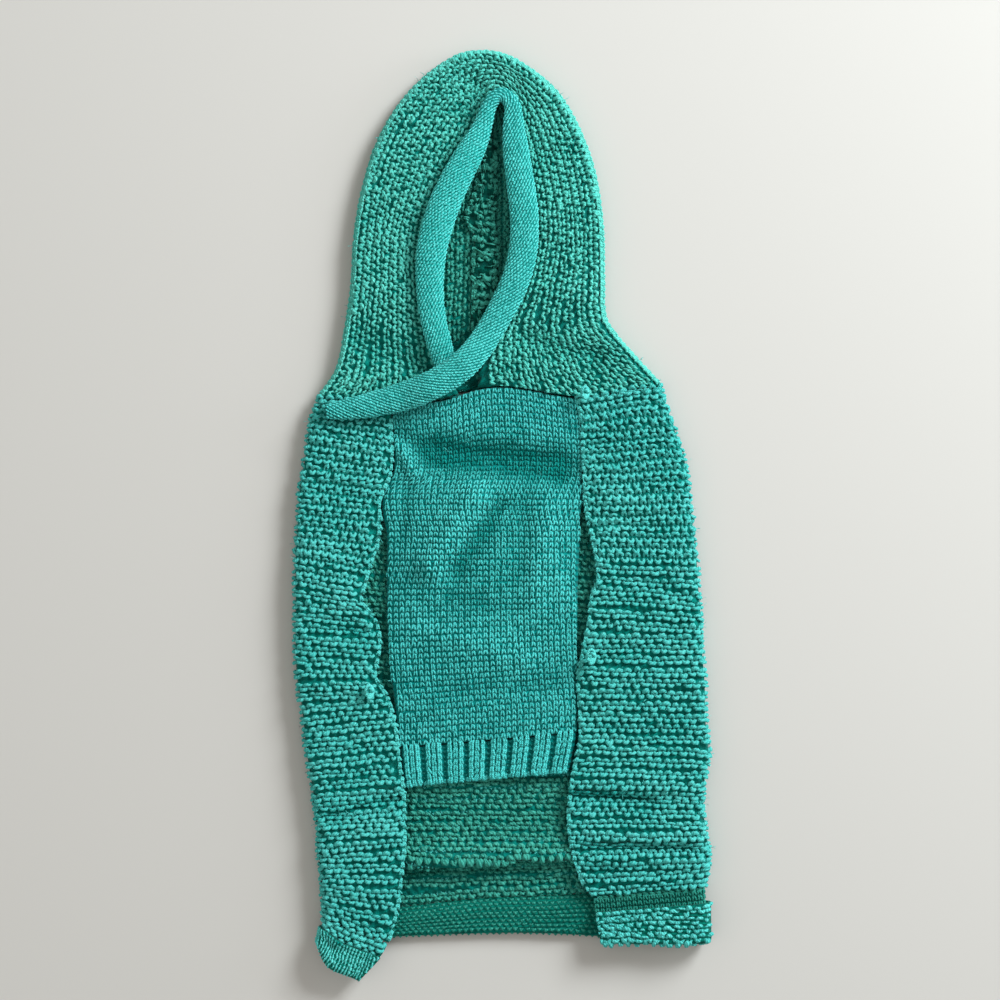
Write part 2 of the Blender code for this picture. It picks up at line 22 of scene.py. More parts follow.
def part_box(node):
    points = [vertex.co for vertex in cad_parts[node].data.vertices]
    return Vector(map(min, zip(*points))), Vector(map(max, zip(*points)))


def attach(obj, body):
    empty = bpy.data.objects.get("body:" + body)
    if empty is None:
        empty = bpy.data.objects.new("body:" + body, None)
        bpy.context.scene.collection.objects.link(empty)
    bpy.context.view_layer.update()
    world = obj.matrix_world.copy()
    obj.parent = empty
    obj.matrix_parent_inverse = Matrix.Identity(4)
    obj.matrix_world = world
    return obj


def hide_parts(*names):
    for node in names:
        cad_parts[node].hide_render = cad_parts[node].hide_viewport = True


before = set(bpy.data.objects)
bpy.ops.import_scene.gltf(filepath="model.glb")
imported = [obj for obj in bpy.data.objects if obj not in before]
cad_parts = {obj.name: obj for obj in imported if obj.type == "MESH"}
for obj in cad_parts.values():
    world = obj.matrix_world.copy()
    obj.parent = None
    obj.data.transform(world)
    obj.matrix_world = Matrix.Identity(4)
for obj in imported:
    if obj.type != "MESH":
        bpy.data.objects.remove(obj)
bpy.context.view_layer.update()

LOG = logging.getLogger("dog_coat")
MM = 0.001

# Walls and clearances, as in the solids
WALL = 2.4
FINE_WALL = 1.6
ROLL_WALL = 1.2
ALLOWANCE_WALL = 1.1
SEAM_GAP = 0.3
SEAM_CLEAR = 0.8
LAYER_GAP = 0.4
PUFF = 0.35             # how far an upper layer rises between its edge and its fold
EDGE_DROP = 1.2         # how much lower the flap edges lie than their folds

# Mesh steps
BODY_ROWS = 50
BODY_STEPS = (6, 4, 5)      # on a flap, round its fold, half of the back
HOOD_ROWS = 46
HOOD_STEPS = (8, 4, 9)      # on top, round the fold, underneath
BELLY_GRID = (26, 15)
RIB_ROWS = 4
RIB_STEPS = 6               # columns to a rib
BAND_STATIONS = 54
BAND_POINTS = 11
HEM_LEG = 3
HEM_STEPS = (5, 4, 5)
SEAM_STATIONS = 24
SEAM_POINTS = 6


def rows_of(kind: type, *rows: tuple) -> tuple:
    """Read rows of numbers as rows of one kind."""
    return tuple(kind(*row) for row in rows)


class Section(NamedTuple):
    """One knitted row of the back, from flap edge to flap edge."""

    left_edge: tuple
    left_fold: tuple
    right_fold: tuple
    right_edge: tuple
    middle_y: float
    left_height: float
    right_height: float


BODY = rows_of(
    Section,
    ((-40.5, 42), (-68.5, 43.5), (59.5, 47.5), (27.5, 43.5), 45.5, 6.2, 6.2),
    ((-41, 33), (-71.5, 37), (62.5, 38.5), (29, 35), 37, 6, 6.4),
    ((-40.5, 23), (-73, 28.5), (66, 28.5), (29.5, 25.5), 27.5, 6.2, 6.6),
    ((-41.5, 14.5), (-74.5, 18.5), (69, 18.5), (30, 16.5), 18, 6.4, 6.6),
    ((-45, 6.5), (-76, 10), (70, 10), (30, 8.5), 9.5, 6.6, 6.4),
    ((-45, -2), (-76.5, 1), (71, 1), (31, 0), 0.5, 6.6, 6.4),
    ((-46, -10.5), (-77, -6.5), (72, -8), (33, -8), -8.5, 6.6, 6.6),
    ((-48.5, -17.5), (-77.5, -13), (73, -17), (34.5, -16), -17, 6.8, 6.8),
    ((-50.5, -25), (-77.5, -20), (73.5, -25), (35, -23), -25, 7, 6.8),
    ((-52, -30.5), (-77.5, -26), (74, -31.5), (32.5, -29.5), -31, 7.2, 6.6),
    ((-49.5, -34.5), (-77.5, -32), (74.5, -38), (32, -36), -37, 7.2, 6.6),
    ((-46, -40), (-77.5, -38), (74.5, -44), (31, -42.5), -43, 7, 6.6),
    ((-45, -47), (-77.5, -44.5), (75, -50), (29.5, -49.5), -49.5, 6.8, 6.6),
    ((-46, -53.5), (-77.5, -51), (75.5, -56), (28.5, -54.5), -55.5, 6.6, 6.6),
    ((-46.5, -60), (-77, -60), (76, -62.5), (27.5, -61), -62.5, 6.6, 6.6),
    ((-42.5, -66.5), (-75.5, -68.5), (76, -70), (28, -69.5), -70, 6.6, 6.6),
    ((-40, -74), (-74.5, -77.5), (76.5, -79), (28.5, -78.5), -79, 6.8, 6.6),
    ((-38.5, -83), (-73.5, -86.5), (77.5, -88), (27.5, -87), -88, 7, 6.8),
    ((-37.5, -93), (-72, -96), (76, -97), (25.5, -96), -97, 7.2, 7),
    ((-36, -103), (-70.5, -105.5), (75, -105.5), (24.5, -104.5), -106, 7.2, 7.2),
    ((-36, -113), (-69, -115), (76, -114), (24, -113), -115, 7.2, 7.4),
    ((-36, -122.5), (-69, -124), (77, -121.5), (25, -121.5), -123.5, 7.4, 7.6),
    ((-37, -132), (-68, -132), (77.5, -127.5), (27, -129), -130.5, 7.6, 7.6),
    ((-38.5, -144.5), (-67.5, -139.5), (76.5, -132.5), (29.5, -135.5), -136, 7.8, 7.4),
    ((-42, -157.5), (-66.5, -147), (75.5, -137), (33.5, -140.5), -141, 7.6, 7.2),
)

# The fine tail hem carries the rows on, then turns outwards and back on itself
HEM = rows_of(
    Section,
    ((-42.5, -158.2), (-66.8, -147.6), (75.5, -137.6), (33.6, -141.1), -141.6, 7.6, 7.2),
    ((-45, -162.5), (-66, -151), (75.7, -142.5), (34.2, -146), -145.2, 7.4, 7),
    ((-51.5, -169.8), (-66.3, -155), (75.9, -156), (36.2, -156.2), -153, 7, 7),
)
HEM_LOW = (WALL / 2, 2.8, 2.9)      # middle of its lower layer at each row above
HEM_TURN = 1.0                      # radius of the turn at its free edge
HEM_RETURN = 0.62                   # share of its length that comes back up


class HoodRow(NamedTuple):
    """One knitted row of the hood, from the face opening round to the seam."""

    edge: tuple
    outline: tuple
    seam: tuple
    edge_height: float
    fold_height: float


HOOD = rows_of(
    HoodRow,
    ((-16, 43.5), (-68.5, 44.2), (-5.2, 46.2), 4.3, 5.8),
    ((-20, 52), (-62, 53.5), (-5.2, 58), 4.4, 5.9),
    ((-24, 66), (-59, 66.5), (-5.2, 72), 4.8, 6),
    ((-26.5, 84), (-56.2, 85), (-5.2, 89), 5, 6),
    ((-26.5, 101.5), (-55, 104.5), (-5.2, 106), 5.1, 6),
    ((-22, 118), (-51.5, 123.5), (-5.2, 121), 5.2, 6),
    ((-15, 132), (-45.5, 141), (-5.2, 135), 5.2, 6),
    ((-8, 145), (-34.5, 157.5), (-5.2, 147), 5.3, 5.9),
    ((-3.5, 152.5), (-19, 170), (-5.2, 153.5), 5.3, 5.7),
    ((-0.5, 155), (-6, 172.6), (-5, 156.5), 5.3, 5.7),
    ((2, 152.5), (6, 169), (-4.8, 153.5), 5.3, 5.7),
    ((4.5, 141.5), (20.5, 157.5), (-4.8, 147), 5.3, 5.9),
    ((6, 128), (29.5, 142), (-4.8, 135), 5.2, 6),
    ((8, 114), (35, 125.5), (-4.8, 121), 5.2, 6),
    ((8, 99.5), (37.6, 106), (-4.8, 106), 5.2, 6.2),
    ((3.5, 84.5), (38, 87.5), (-4.8, 89), 5.5, 6.2),
    ((-3.5, 70.5), (39, 72.5), (-4.8, 72), 5.8, 6.2),
    ((-8, 58), (49, 59.5), (-4.8, 58), 5.8, 6),
    ((-9, 48.5), (59.5, 48.2), (-4.8, 46.2), 5.6, 5.8),
)


class NeckPoint(NamedTuple):
    """Where the neck seam runs across the upper layer."""

    x: float
    y: float


NECK = rows_of(
    NeckPoint,
    (-72, 44), (-56, 43), (-32, 41.8), (-21, 43), (-9, 47.2), (0, 48), (9, 47),
    (18, 45.2), (28, 43.8), (38, 45), (48, 47), (62, 48),
)
NECK_ROWS = 7           # rows over which a piece bends to meet the neck seam


class BellyRow(NamedTuple):
    """One course of the belly: its height up the coat, its ends, its rise."""

    y: float
    left: float
    right: float
    rise: float


BELLY = rows_of(
    BellyRow,
    (44, -40, 27, 0.4), (28, -39.5, 28.5, 1.4), (16.5, -39.5, 29, 1),
    (8.5, -43.5, 29, 1.8), (0, -43.5, 28, 2.4), (-8, -42, 27.8, 2.6),
    (-31.5, -42, 27, 1.8), (-50, -41, 26.8, 1.2), (-65, -39, 27.5, 0.8),
    (-79.8, -38, 27, 0.3),
)
BELLY_DROP = 5.5        # how much lower its left end sits than its right end
BELLY_REACH = 80.0      # how far down the coat it takes to drop so far
BELLY_CLEAR = 0.9       # how far it lies over the least height, before its rise
RIB_LENGTH = 14.2
RIB_COUNT = 8
RIB_RAISE = 1.1
RIB_SHARE = 0.66        # of the pitch that is rib, the rest is groove
RIB_SLOPE = 0.5         # of the pitch over which a rib falls to its groove
RIB_TAPER = 3.0         # how much further the hem draws in than the panel


class Crease(NamedTuple):
    """A soft trough (minus) or welt (plus) along a line across the cloth."""

    start: tuple
    end: tuple
    height: float
    width: float


FLAP_CREASES = rows_of(
    Crease,
    ((26, -102.5), (56, -104.5), -1.6, 2.2),  # right flap, waist fold
    ((28, -97), (74, -98.5), 0.7, 2.6),
    ((30, -116.5), (74, -117.5), 0.8, 2.2),
    ((28, -120.5), (72, -122), -1, 1.8),
    ((-66, -110), (-37, -104.5), -1.5, 2.2),  # left flap, waist fold
    ((-66, -105.5), (-42, -101.5), 0.7, 2.2),
    ((-66, -116), (-42, -112), 0.6, 2.4),
    ((-58, -24), (-50, -36), 1, 4),  # left armhole bunching
    ((-62, -41), (-47, -44), -0.7, 2.6),
    ((36, -50), (52, -46), -0.6, 2.6),
)
TUCK = Crease((-36.0, -129.5), (30.0, -126.5), 2.6, 0.0)    # pleat across the tail
TUCK_LENGTH = 17.0      # slope that leads up to it
TUCK_STEP = 3.4         # steep side that drops from it
TUCK_FADE = 12.0        # length over which it fades out at each side
BELLY_CREASES = rows_of(
    Crease,
    ((-23, 24), (21, 18), -1.1, 5),
    ((-8, 8), (-27, -17), 1.2, 6),
    ((8, 4), (6, -24), -1, 5),
    ((20, 8), (14, -30), 0.6, 5),
)
HOOD_CREASES = rows_of(
    Crease,
    ((-52, 66), (-34, 58), -0.9, 6),
    ((8, 66), (36, 58), -0.9, 4),
    ((-12, 159), (-14, 138), -0.8, 4),
    ((30, 84), (18, 118), 0.6, 7),
)


class BandStation(NamedTuple):
    """A place along the rolled band with half its width there."""

    x: float
    y: float
    half: float


BAND = rows_of(
    BandStation,
    (-20.5, 54.5, 4.2), (-23, 63, 4.8), (-25.5, 73, 5), (-26.7, 85, 5.3),
    (-26, 98, 5.8), (-22.5, 111.5, 6), (-17, 124.5, 5.8), (-11, 135.5, 5.2),
    (-7.2, 144, 3.8), (-5.2, 150.5, 3.2), (-3, 154.2, 3), (-0.5, 155.4, 3),
    (2, 154.2, 3), (3.9, 150.5, 3.4), (4.2, 144, 4.2), (4.9, 135.5, 5),
    (6.4, 124.5, 5.4), (8, 111.5, 5.5), (7.8, 99, 5.5), (5.3, 88, 5.5), (1, 78.5, 5.4),
    (-4.5, 68.5, 5.2), (-11, 59, 5.5), (-19, 52, 5.6), (-28.5, 47, 5.6),
    (-38, 43.7, 5.4), (-48, 41.2, 4.9), (-57.5, 39.4, 4), (-65, 38.6, 2.9),
)
BAND_HIGH = 0.46        # half its height over half its width
BAND_SLIT = 26.0        # degrees left open underneath, where it is sewn on
BAND_WIDTH = 11.0
BAND_CROSSING = 0.72    # place along it after which it lies over its own start
BAND_START = 14         # stations of the start that it can lie over
BAND_REACH = 1.0        # how far past its sides the band looks for what it lies on
BAND_SMOOTHING = 3      # passes that ease its rises along its length
BAND_LEAST = 1.8        # least half height, so that the roll stays hollow


class SeamStation(NamedTuple):
    """A place along the seam allowance inside the back of the hood."""

    y: float
    x: float
    half: float
    high: float


SEAM_ALLOWANCE = rows_of(
    SeamStation,
    (140, -5.5, 2.6, 1.6), (122, -6, 3.6, 1.9), (111, -8.5, 5.2, 2.3),
    (105, -6.5, 4, 2), (97, -6, 4.6, 2.2), (89, -6.8, 4.2, 2.1), (81, -6, 4.8, 2),
    (72, -7, 4.2, 1.6), (60, -6.4, 3.8, 1.3), (50, -6, 3, 1.2),
)


def resample(rows: Sequence, count: int) -> np.ndarray:
    """Read a table's rows as smooth curves at evenly spaced places.

    Args:
        rows: the table's rows.
        count: how many places they are read at.

    Returns:
        An array with a line for each place.
    """
    table = np.array([np.hstack(row) for row in rows], dtype=float)
    place = np.linspace(0, len(table) - 1, count)
    low = np.clip(place.astype(int), 0, len(table) - 2)
    part = (place - low)[:, None]
    before, start = table[np.clip(low - 1, 0, None)], table[low]
    end, after = table[low + 1], table[np.clip(low + 2, None, len(table) - 1)]
    return 0.5 * (
        2 * start
        + (end - before) * part
        + (2 * before - 5 * start + 4 * end - after) * part**2
        + (3 * start - before - 3 * end + after) * part**3
    )


def columns_of(rows: Sequence, count: int) -> tuple:
    """Read a table's rows as smooth curves, under the names of its columns.

    Args:
        rows: the table's rows, all of one kind.
        count: how many places they are read at.

    Returns:
        One row of the same kind, with an array in each column.
    """
    values, columns, first = resample(rows, count), [], 0
    for cell in rows[0]:
        part = values[:, first:first + np.size(cell)]
        columns.append(part if np.size(cell) > 1 else part[:, 0])
        first += np.size(cell)
    return type(rows[0])(*columns)


def lengths_along(path: np.ndarray) -> np.ndarray:
    """Length of a path up to each of its points."""
    steps = np.linalg.norm(np.diff(path, axis=0), axis=1)
    return np.concatenate(([0.0], np.cumsum(steps)))


def unit(vectors: np.ndarray) -> np.ndarray:
    """Scale vectors to length one."""
    return vectors / np.maximum(np.linalg.norm(vectors, axis=-1, keepdims=True), 1e-9)


def smooth_step(share: np.ndarray) -> np.ndarray:
    """Ease a share from 0 to 1."""
    share = np.clip(share, 0.0, 1.0)
    return share * share * (3 - 2 * share)


def neck_y(x: np.ndarray) -> np.ndarray:
    """Height up the coat of the neck seam at a place across it."""
    return np.interp(x, [p.x for p in NECK], [p.y for p in NECK])


def fold_over(edge: np.ndarray, fold: np.ndarray, middle: np.ndarray,
              heights: tuple, steps: tuple) -> np.ndarray:
    """Rows that run out over a layer, round a fold and back underneath.

    Args:
        edge: (rows, 2) places in plan of the free end of each row.
        fold: places of the outermost point of its fold.
        middle: places of its end underneath.
        heights: of the middle of the wall at the edge, at the fold and below.
        steps: columns on top, round the fold and underneath.

    Returns:
        A (rows, columns, 3) grid of the middle of the wall.
    """
    edge_height, fold_height, low_height = heights
    out_top, out_low = unit(fold - edge), unit(fold - middle)
    half = (fold_height - low_height) / 2
    reach = half[:, None]
    columns = []
    turn_start = fold - out_top * (reach + WALL / 2)
    for share in np.linspace(0, 1, steps[0], endpoint=False):
        plan = edge + (turn_start - edge) * share
        puff = PUFF * np.sin(np.pi * share)
        height = edge_height + (fold_height - edge_height) * share + puff
        columns.append(np.column_stack((plan, height)))
    for angle in np.linspace(np.pi / 2, -np.pi / 2, steps[1] + 1):
        blend = (1 - np.sin(angle)) / 2
        out = unit(out_top * (1 - blend) + out_low * blend)
        plan = fold - out * (reach * (1 - np.cos(angle)) + WALL / 2)
        height = low_height + half * (1 + np.sin(angle))
        columns.append(np.column_stack((plan, height)))
    turn_end = fold - out_low * (reach + WALL / 2)
    for share in np.linspace(0, 1, steps[2] + 1)[1:]:
        across = turn_end[:, 0] + (middle[:, 0] - turn_end[:, 0]) * share
        along = turn_end[:, 1] + (middle[:, 1] - turn_end[:, 1]) * smooth_step(share)
        columns.append(np.column_stack((across, along, low_height)))
    return np.stack(columns, axis=1)


def crease_height(points: np.ndarray, creases: Sequence[Crease]) -> np.ndarray:
    """Sum of the soft troughs and welts at points in plan.

    Args:
        points: places in plan.
        creases: the creases.

    Returns:
        The height of each place, in mm.
    """
    total = np.zeros(points.shape[:-1])
    for crease in creases:
        start, end = np.array(crease.start), np.array(crease.end)
        line = end - start
        share = np.clip((points - start) @ line / (line @ line), 0, 1)
        off = np.linalg.norm(points - start - share[..., None] * line, axis=-1)
        total += crease.height * np.exp(-((off / crease.width) ** 2))
    return total


def above_line(points: np.ndarray, crease: Crease) -> np.ndarray:
    """How far points lie up the coat from the line of a crease.

    Args:
        points: places in plan.
        crease: the crease, which runs across the coat.

    Returns:
        The distances, minus where they lie below it.
    """
    (start_x, start_y), (end_x, end_y) = crease.start, crease.end
    slope = (end_y - start_y) / (end_x - start_x)
    return points[..., 1] - (start_y + slope * (points[..., 0] - start_x))


def tuck_height(points: np.ndarray) -> np.ndarray:
    """Rise of the back layer at the pleat across the tail.

    Args:
        points: places in plan.

    Returns:
        The rise of each place, in mm.
    """
    above = above_line(points, TUCK)
    lead = smooth_step(1 - above / TUCK_LENGTH)
    drop = smooth_step((above + TUCK_STEP) / TUCK_STEP)
    inside = smooth_step((points[..., 0] - TUCK.start[0] + 6) / TUCK_FADE)
    inside = inside * smooth_step((TUCK.end[0] + 2 - points[..., 0]) / TUCK_FADE)
    return TUCK.height * lead * drop * inside


def back_grid(sections: Sequence[Section] = BODY, rows: int = BODY_ROWS,
              steps: tuple = BODY_STEPS, low: np.ndarray | None = None) -> np.ndarray:
    """Middle of the wall of the back with its two flaps.

    Args:
        sections: the rows of knitting.
        rows: how many rows of the grid.
        steps: columns on a flap, round its fold and on half of the back.
        low: height of the lower layer at each row, if not on the floor.

    Returns:
        A (rows, columns, 3) grid, in mm.
    """
    line = columns_of(sections, rows)
    middle_x = (line.left_fold[:, 0] + line.right_fold[:, 0]) / 2
    middle = np.column_stack((middle_x, line.middle_y))
    low = np.full(rows, WALL / 2) if low is None else low
    left = fold_over(line.left_edge, line.left_fold, middle,
                     (line.left_height - EDGE_DROP, line.left_height, low), steps)
    right = fold_over(line.right_edge, line.right_fold, middle,
                      (line.right_height - EDGE_DROP, line.right_height, low), steps)
    return np.concatenate((left, right[:, -2::-1]), axis=1)


def shape_back(grid: np.ndarray) -> np.ndarray:
    """Lay the creases into the flaps, the tuck into the back, meet the neck.

    Args:
        grid: the back, which is changed.

    Returns:
        The same grid.
    """
    ends = BODY_STEPS[0] + 1
    least = WALL * 1.5 + LAYER_GAP
    for part in (slice(0, ends), slice(-ends, None)):
        flap = grid[:, part]
        flap[..., 2] += crease_height(flap[..., :2], FLAP_CREASES)
        flap[..., 2] = np.maximum(flap[..., 2], least)
        bend_to_neck(flap, SEAM_GAP / -2)
    first = ends + BODY_STEPS[1]
    back = grid[:, first:-first]
    back[..., 2] += tuck_height(back[..., :2])
    return grid


def bend_to_neck(rows: np.ndarray, offset: float) -> None:
    """Bend the first rows of an upper layer so that row 0 lies on the neck seam.

    Args:
        rows: a part of a grid, which is changed.
        offset: how far above the seam row 0 ends up, in mm.
    """
    shift = neck_y(rows[0, :, 0]) + offset - rows[0, :, 1]
    for index in range(NECK_ROWS):
        rows[index, :, 1] += shift * smooth_step(1 - index / NECK_ROWS)


def hood_grid() -> np.ndarray:
    """Middle of the wall of the hood, left neck round the crown to right neck.

    Returns:
        A (rows, columns, 3) grid, in mm.
    """
    line = columns_of(HOOD, HOOD_ROWS)
    heights = (line.edge_height, line.fold_height, np.full(HOOD_ROWS, WALL / 2))
    grid = fold_over(line.edge, line.outline, line.seam, heights, HOOD_STEPS)
    top = grid[:, :HOOD_STEPS[0] + 1]
    top[..., 2] += crease_height(top[..., :2], HOOD_CREASES)
    top[..., 2] = np.maximum(top[..., 2], WALL * 1.5 + LAYER_GAP)
    bend_to_neck(top, SEAM_GAP)
    bend_to_neck(top[::-1], SEAM_GAP)
    return grid


def edge_at(grid: np.ndarray, column: int, y: np.ndarray) -> np.ndarray:
    """Place across the coat of a flap's edge at heights up the coat.

    Args:
        grid: the back.
        column: of the edge.
        y: the heights.

    Returns:
        The places across, in mm.
    """
    line = grid[:, column]
    order = np.argsort(line[:, 1])
    return np.interp(y, line[order, 1], line[order, 0])


def belly_ends(back: np.ndarray, y: np.ndarray, left: np.ndarray,
               right: np.ndarray) -> tuple[np.ndarray, np.ndarray]:
    """Ends of a belly course, kept a seam's gap clear of the flap edges.

    Args:
        back: the back.
        y: height of each course up the coat.
        left: where its left end would lie.
        right: where its right end would lie.

    Returns:
        Where its left and its right end lie.
    """
    left = np.maximum(left, edge_at(back, 0, y) + SEAM_CLEAR)
    right = np.minimum(right, edge_at(back, -1, y) - SEAM_CLEAR)
    return left, right


def belly_grid(back: np.ndarray) -> np.ndarray:
    """Middle of the wall of the belly panel above its rib.

    Args:
        back: the back, whose flaps it is sewn to.

    Returns:
        A (rows, columns, 3) grid, in mm.
    """
    rows, columns = BELLY_GRID
    line = columns_of(BELLY, rows)
    share = np.linspace(0, 1, columns)
    y_left = line.y - BELLY_DROP * smooth_step(-line.y / BELLY_REACH)
    left, right = belly_ends(back, (y_left + line.y) / 2, line.left, line.right)
    grid = np.empty((rows, columns, 3))
    grid[..., 0] = left[:, None] + (right - left)[:, None] * share
    grid[..., 1] = y_left[:, None] + (line.y - y_left)[:, None] * share
    bulge = np.sin(np.pi * share) ** 0.6
    floor = WALL + FINE_WALL / 2 + LAYER_GAP
    grid[..., 2] = floor + BELLY_CLEAR + line.rise[:, None] * bulge
    grid[..., 2] += crease_height(grid[..., :2], BELLY_CREASES)
    grid[..., 2] = np.maximum(grid[..., 2], floor)
    bend_to_neck(grid, -SEAM_GAP)
    return grid


def rib_grid(belly: np.ndarray, back: np.ndarray) -> tuple[np.ndarray, np.ndarray]:
    """Middle of the wall of the ribbed hem, with how far each rib is raised.

    Args:
        belly: the panel that it hangs from.
        back: the back.

    Returns:
        The grid, and how far each of its points is raised.
    """
    last = belly[-1]
    columns = RIB_COUNT * RIB_STEPS + 1
    share = np.linspace(0, 1, columns)
    grid = np.empty((RIB_ROWS, columns, 3))
    for index in range(RIB_ROWS):
        down = RIB_LENGTH * index / (RIB_ROWS - 1) + SEAM_GAP
        start, end = last[0] - (0, down, 0), last[-1] - (0, down, 0)
        start[0], end[0] = belly_ends(back, start[1] + RIB_TAPER, start[0],
                                      end[0] + RIB_TAPER)
        end[0] = min(end[0], belly_ends(back, end[1], start[0], end[0])[1])
        grid[index] = start + (end - start) * share[:, None]
    place = (share * RIB_COUNT) % 1.0
    wave = np.abs(place - 0.5) * 2
    raised = RIB_RAISE * (
        1 - smooth_step((wave - RIB_SHARE + RIB_SLOPE / 2) / RIB_SLOPE))
    return grid, np.tile(raised, (RIB_ROWS, 1))


def hem_grid() -> np.ndarray:
    """Middle of the wall of the tail hem with its turned-out free edge.

    Returns:
        A (rows, columns, 3) grid, in mm.
    """
    rows = 2 * HEM_LEG + 1
    low = resample([(value,) for value in HEM_LOW], rows)[:, 0]
    leg = back_grid(HEM, rows, HEM_STEPS, low)
    out = grid_normals(leg)
    along = unit(leg[-1] - leg[-2])
    turned = []
    for angle in (0.3 * np.pi, 0.7 * np.pi):
        turned.append(leg[-1] + out[-1] * HEM_TURN * (1 - np.cos(angle))
                      + along * HEM_TURN * np.sin(angle))
    back = leg[::-1] + out[::-1] * 2 * HEM_TURN
    keep = int(round(rows * HEM_RETURN))
    return np.concatenate((leg, np.array(turned), back[:keep]), axis=0)


def grid_normals(grid: np.ndarray) -> np.ndarray:
    """Outward normals of a grid that is walked from a left edge over a fold."""
    return unit(np.cross(np.gradient(grid, axis=1), np.gradient(grid, axis=0)))


def resting_height(points: np.ndarray, x: float, y: float, reach: float) -> float:
    """Highest of a cloud of points within reach of a place in plan."""
    near = np.hypot(points[:, 0] - x, points[:, 1] - y) < reach
    return points[near, 2].max() if near.any() else 0.0


def band_path(hood: np.ndarray, back: np.ndarray
              ) -> tuple[np.ndarray, np.ndarray, np.ndarray]:
    """Centre, half width and half height of the band at its stations.

    Args:
        hood: the hood that it lies on.
        back: the back.

    Returns:
        The centres, the half widths and the half heights.
    """
    line = columns_of(BAND, BAND_STATIONS)
    plan = np.column_stack((line.x, line.y))
    top = np.concatenate((hood[:, :HOOD_STEPS[0]].reshape(-1, 3),
                          back[:, :BODY_STEPS[0]].reshape(-1, 3)))
    high = np.maximum(line.half * BAND_HIGH, BAND_LEAST)
    floor = np.array([resting_height(top, x, y, half + BAND_REACH)
                      for x, y, half in zip(*line)]) + WALL / 2 + SEAM_GAP
    for index in range(int(BAND_STATIONS * BAND_CROSSING), BAND_STATIONS):
        start = np.hypot(*(plan[:BAND_START] - plan[index]).T) < BAND_WIDTH
        if start.any():
            own_top = (floor[:BAND_START] + 2 * high[:BAND_START])[start].max()
            floor[index] = max(floor[index], own_top + SEAM_GAP)
    for _ in range(BAND_SMOOTHING):
        padded = np.pad(floor, 1, mode="edge")
        floor = np.maximum(floor, (padded[:-2] + padded[2:]) / 2)
    return np.column_stack((plan, floor + high)), line.half, high


def band_grid(centre: np.ndarray, half: np.ndarray, high: np.ndarray) -> np.ndarray:
    """Middle of the wall of the rolled band, open along a slit underneath.

    Args:
        centre: the centres of its stations.
        half: its half widths.
        high: its half heights.

    Returns:
        A (rows, columns, 3) grid, in mm.
    """
    along = unit(np.gradient(centre, axis=0) * (1, 1, 0.3))
    side = unit(np.cross(along, (0, 0, 1)))
    up = np.cross(side, along)
    slit = np.radians(BAND_SLIT) / 2
    angles = np.linspace(slit - np.pi / 2, 1.5 * np.pi - slit, BAND_POINTS)
    wide = (half - ROLL_WALL / 2)[:, None, None] * np.cos(angles)[None, :, None]
    tall = (high - ROLL_WALL / 2)[:, None, None] * np.sin(angles)[None, :, None]
    return centre[:, None] + side[:, None] * wide + up[:, None] * tall


def allowance_grid() -> np.ndarray:
    """Middle of the wall of the lumpy seam allowance inside the hood.

    Returns:
        A (rows, columns, 3) grid, in mm.
    """
    line = columns_of(SEAM_ALLOWANCE, SEAM_STATIONS)
    floor = WALL + LAYER_GAP + ALLOWANCE_WALL / 2
    share = np.linspace(-1, 1, SEAM_POINTS)
    grid = np.empty((SEAM_STATIONS, SEAM_POINTS, 3))
    grid[..., 0] = line.x[:, None] + line.half[:, None] * share
    grid[..., 1] = line.y[:, None]
    hump = np.cos(share * np.pi / 2) ** 0.7
    grid[..., 2] = floor + (line.high - ALLOWANCE_WALL).clip(0)[:, None] * hump
    return grid


OUTER, INNER = 1, -1    # the side that a grid's own normals face, and the other


class Surface:
    """A side of a cloth: a smooth grid of points with its outward normals."""

    def __init__(self, points: np.ndarray, facing: int, fineness: int = 1) -> None:
        """Refine a coarse grid and work out its normals.

        Args:
            points: (rows, columns, 3) grid in millimetres.
            facing: OUTER or INNER.
            fineness: how many steps each step of the grid is split into.
        """
        self.points = refine(points, fineness)
        self.normals = unit(soften(grid_normals(self.points), 2)) * facing
        self.rows, self.columns = self.points.shape[:2]

    def read(self, row: np.ndarray, column: np.ndarray) -> tuple[np.ndarray, np.ndarray]:
        """Read points and normals at fractional places of the grid.

        Args:
            row: places along the rows.
            column: places along the columns, of the same shape.

        Returns:
            The points and the unit normals there.
        """
        low_row = np.clip(row.astype(int), 0, self.rows - 2)
        low_column = np.clip(column.astype(int), 0, self.columns - 2)
        part_row = np.clip(row - low_row, 0, 1)[..., None]
        part_column = np.clip(column - low_column, 0, 1)[..., None]
        read = []
        for grid in (self.points, self.normals):
            near = (grid[low_row, low_column] * (1 - part_column)
                    + grid[low_row, low_column + 1] * part_column)
            far = (grid[low_row + 1, low_column] * (1 - part_column)
                   + grid[low_row + 1, low_column + 1] * part_column)
            read.append(near * (1 - part_row) + far * part_row)
        return read[0], unit(read[1])

    def along_row(self, row: float) -> np.ndarray:
        """Length along a row at each of its columns."""
        columns = np.arange(self.columns, dtype=float)
        return lengths_along(self.read(np.full(self.columns, row), columns)[0])

    def along_column(self, column: float) -> np.ndarray:
        """Length along a column at each of its rows."""
        rows = np.arange(self.rows, dtype=float)
        return lengths_along(self.read(rows, np.full(self.rows, column))[0])


def soften(grid: np.ndarray, passes: int) -> np.ndarray:
    """Average each value of a grid with its neighbours.

    Args:
        grid: the grid.
        passes: how often.

    Returns:
        The softer grid.
    """
    for _ in range(passes):
        wide = np.pad(grid, ((1, 1), (1, 1), (0, 0)), mode="edge")
        grid = (wide[:-2, 1:-1] + wide[2:, 1:-1] + wide[1:-1, :-2] + wide[1:-1, 2:]
                + 2 * wide[1:-1, 1:-1]) / 6
    return grid


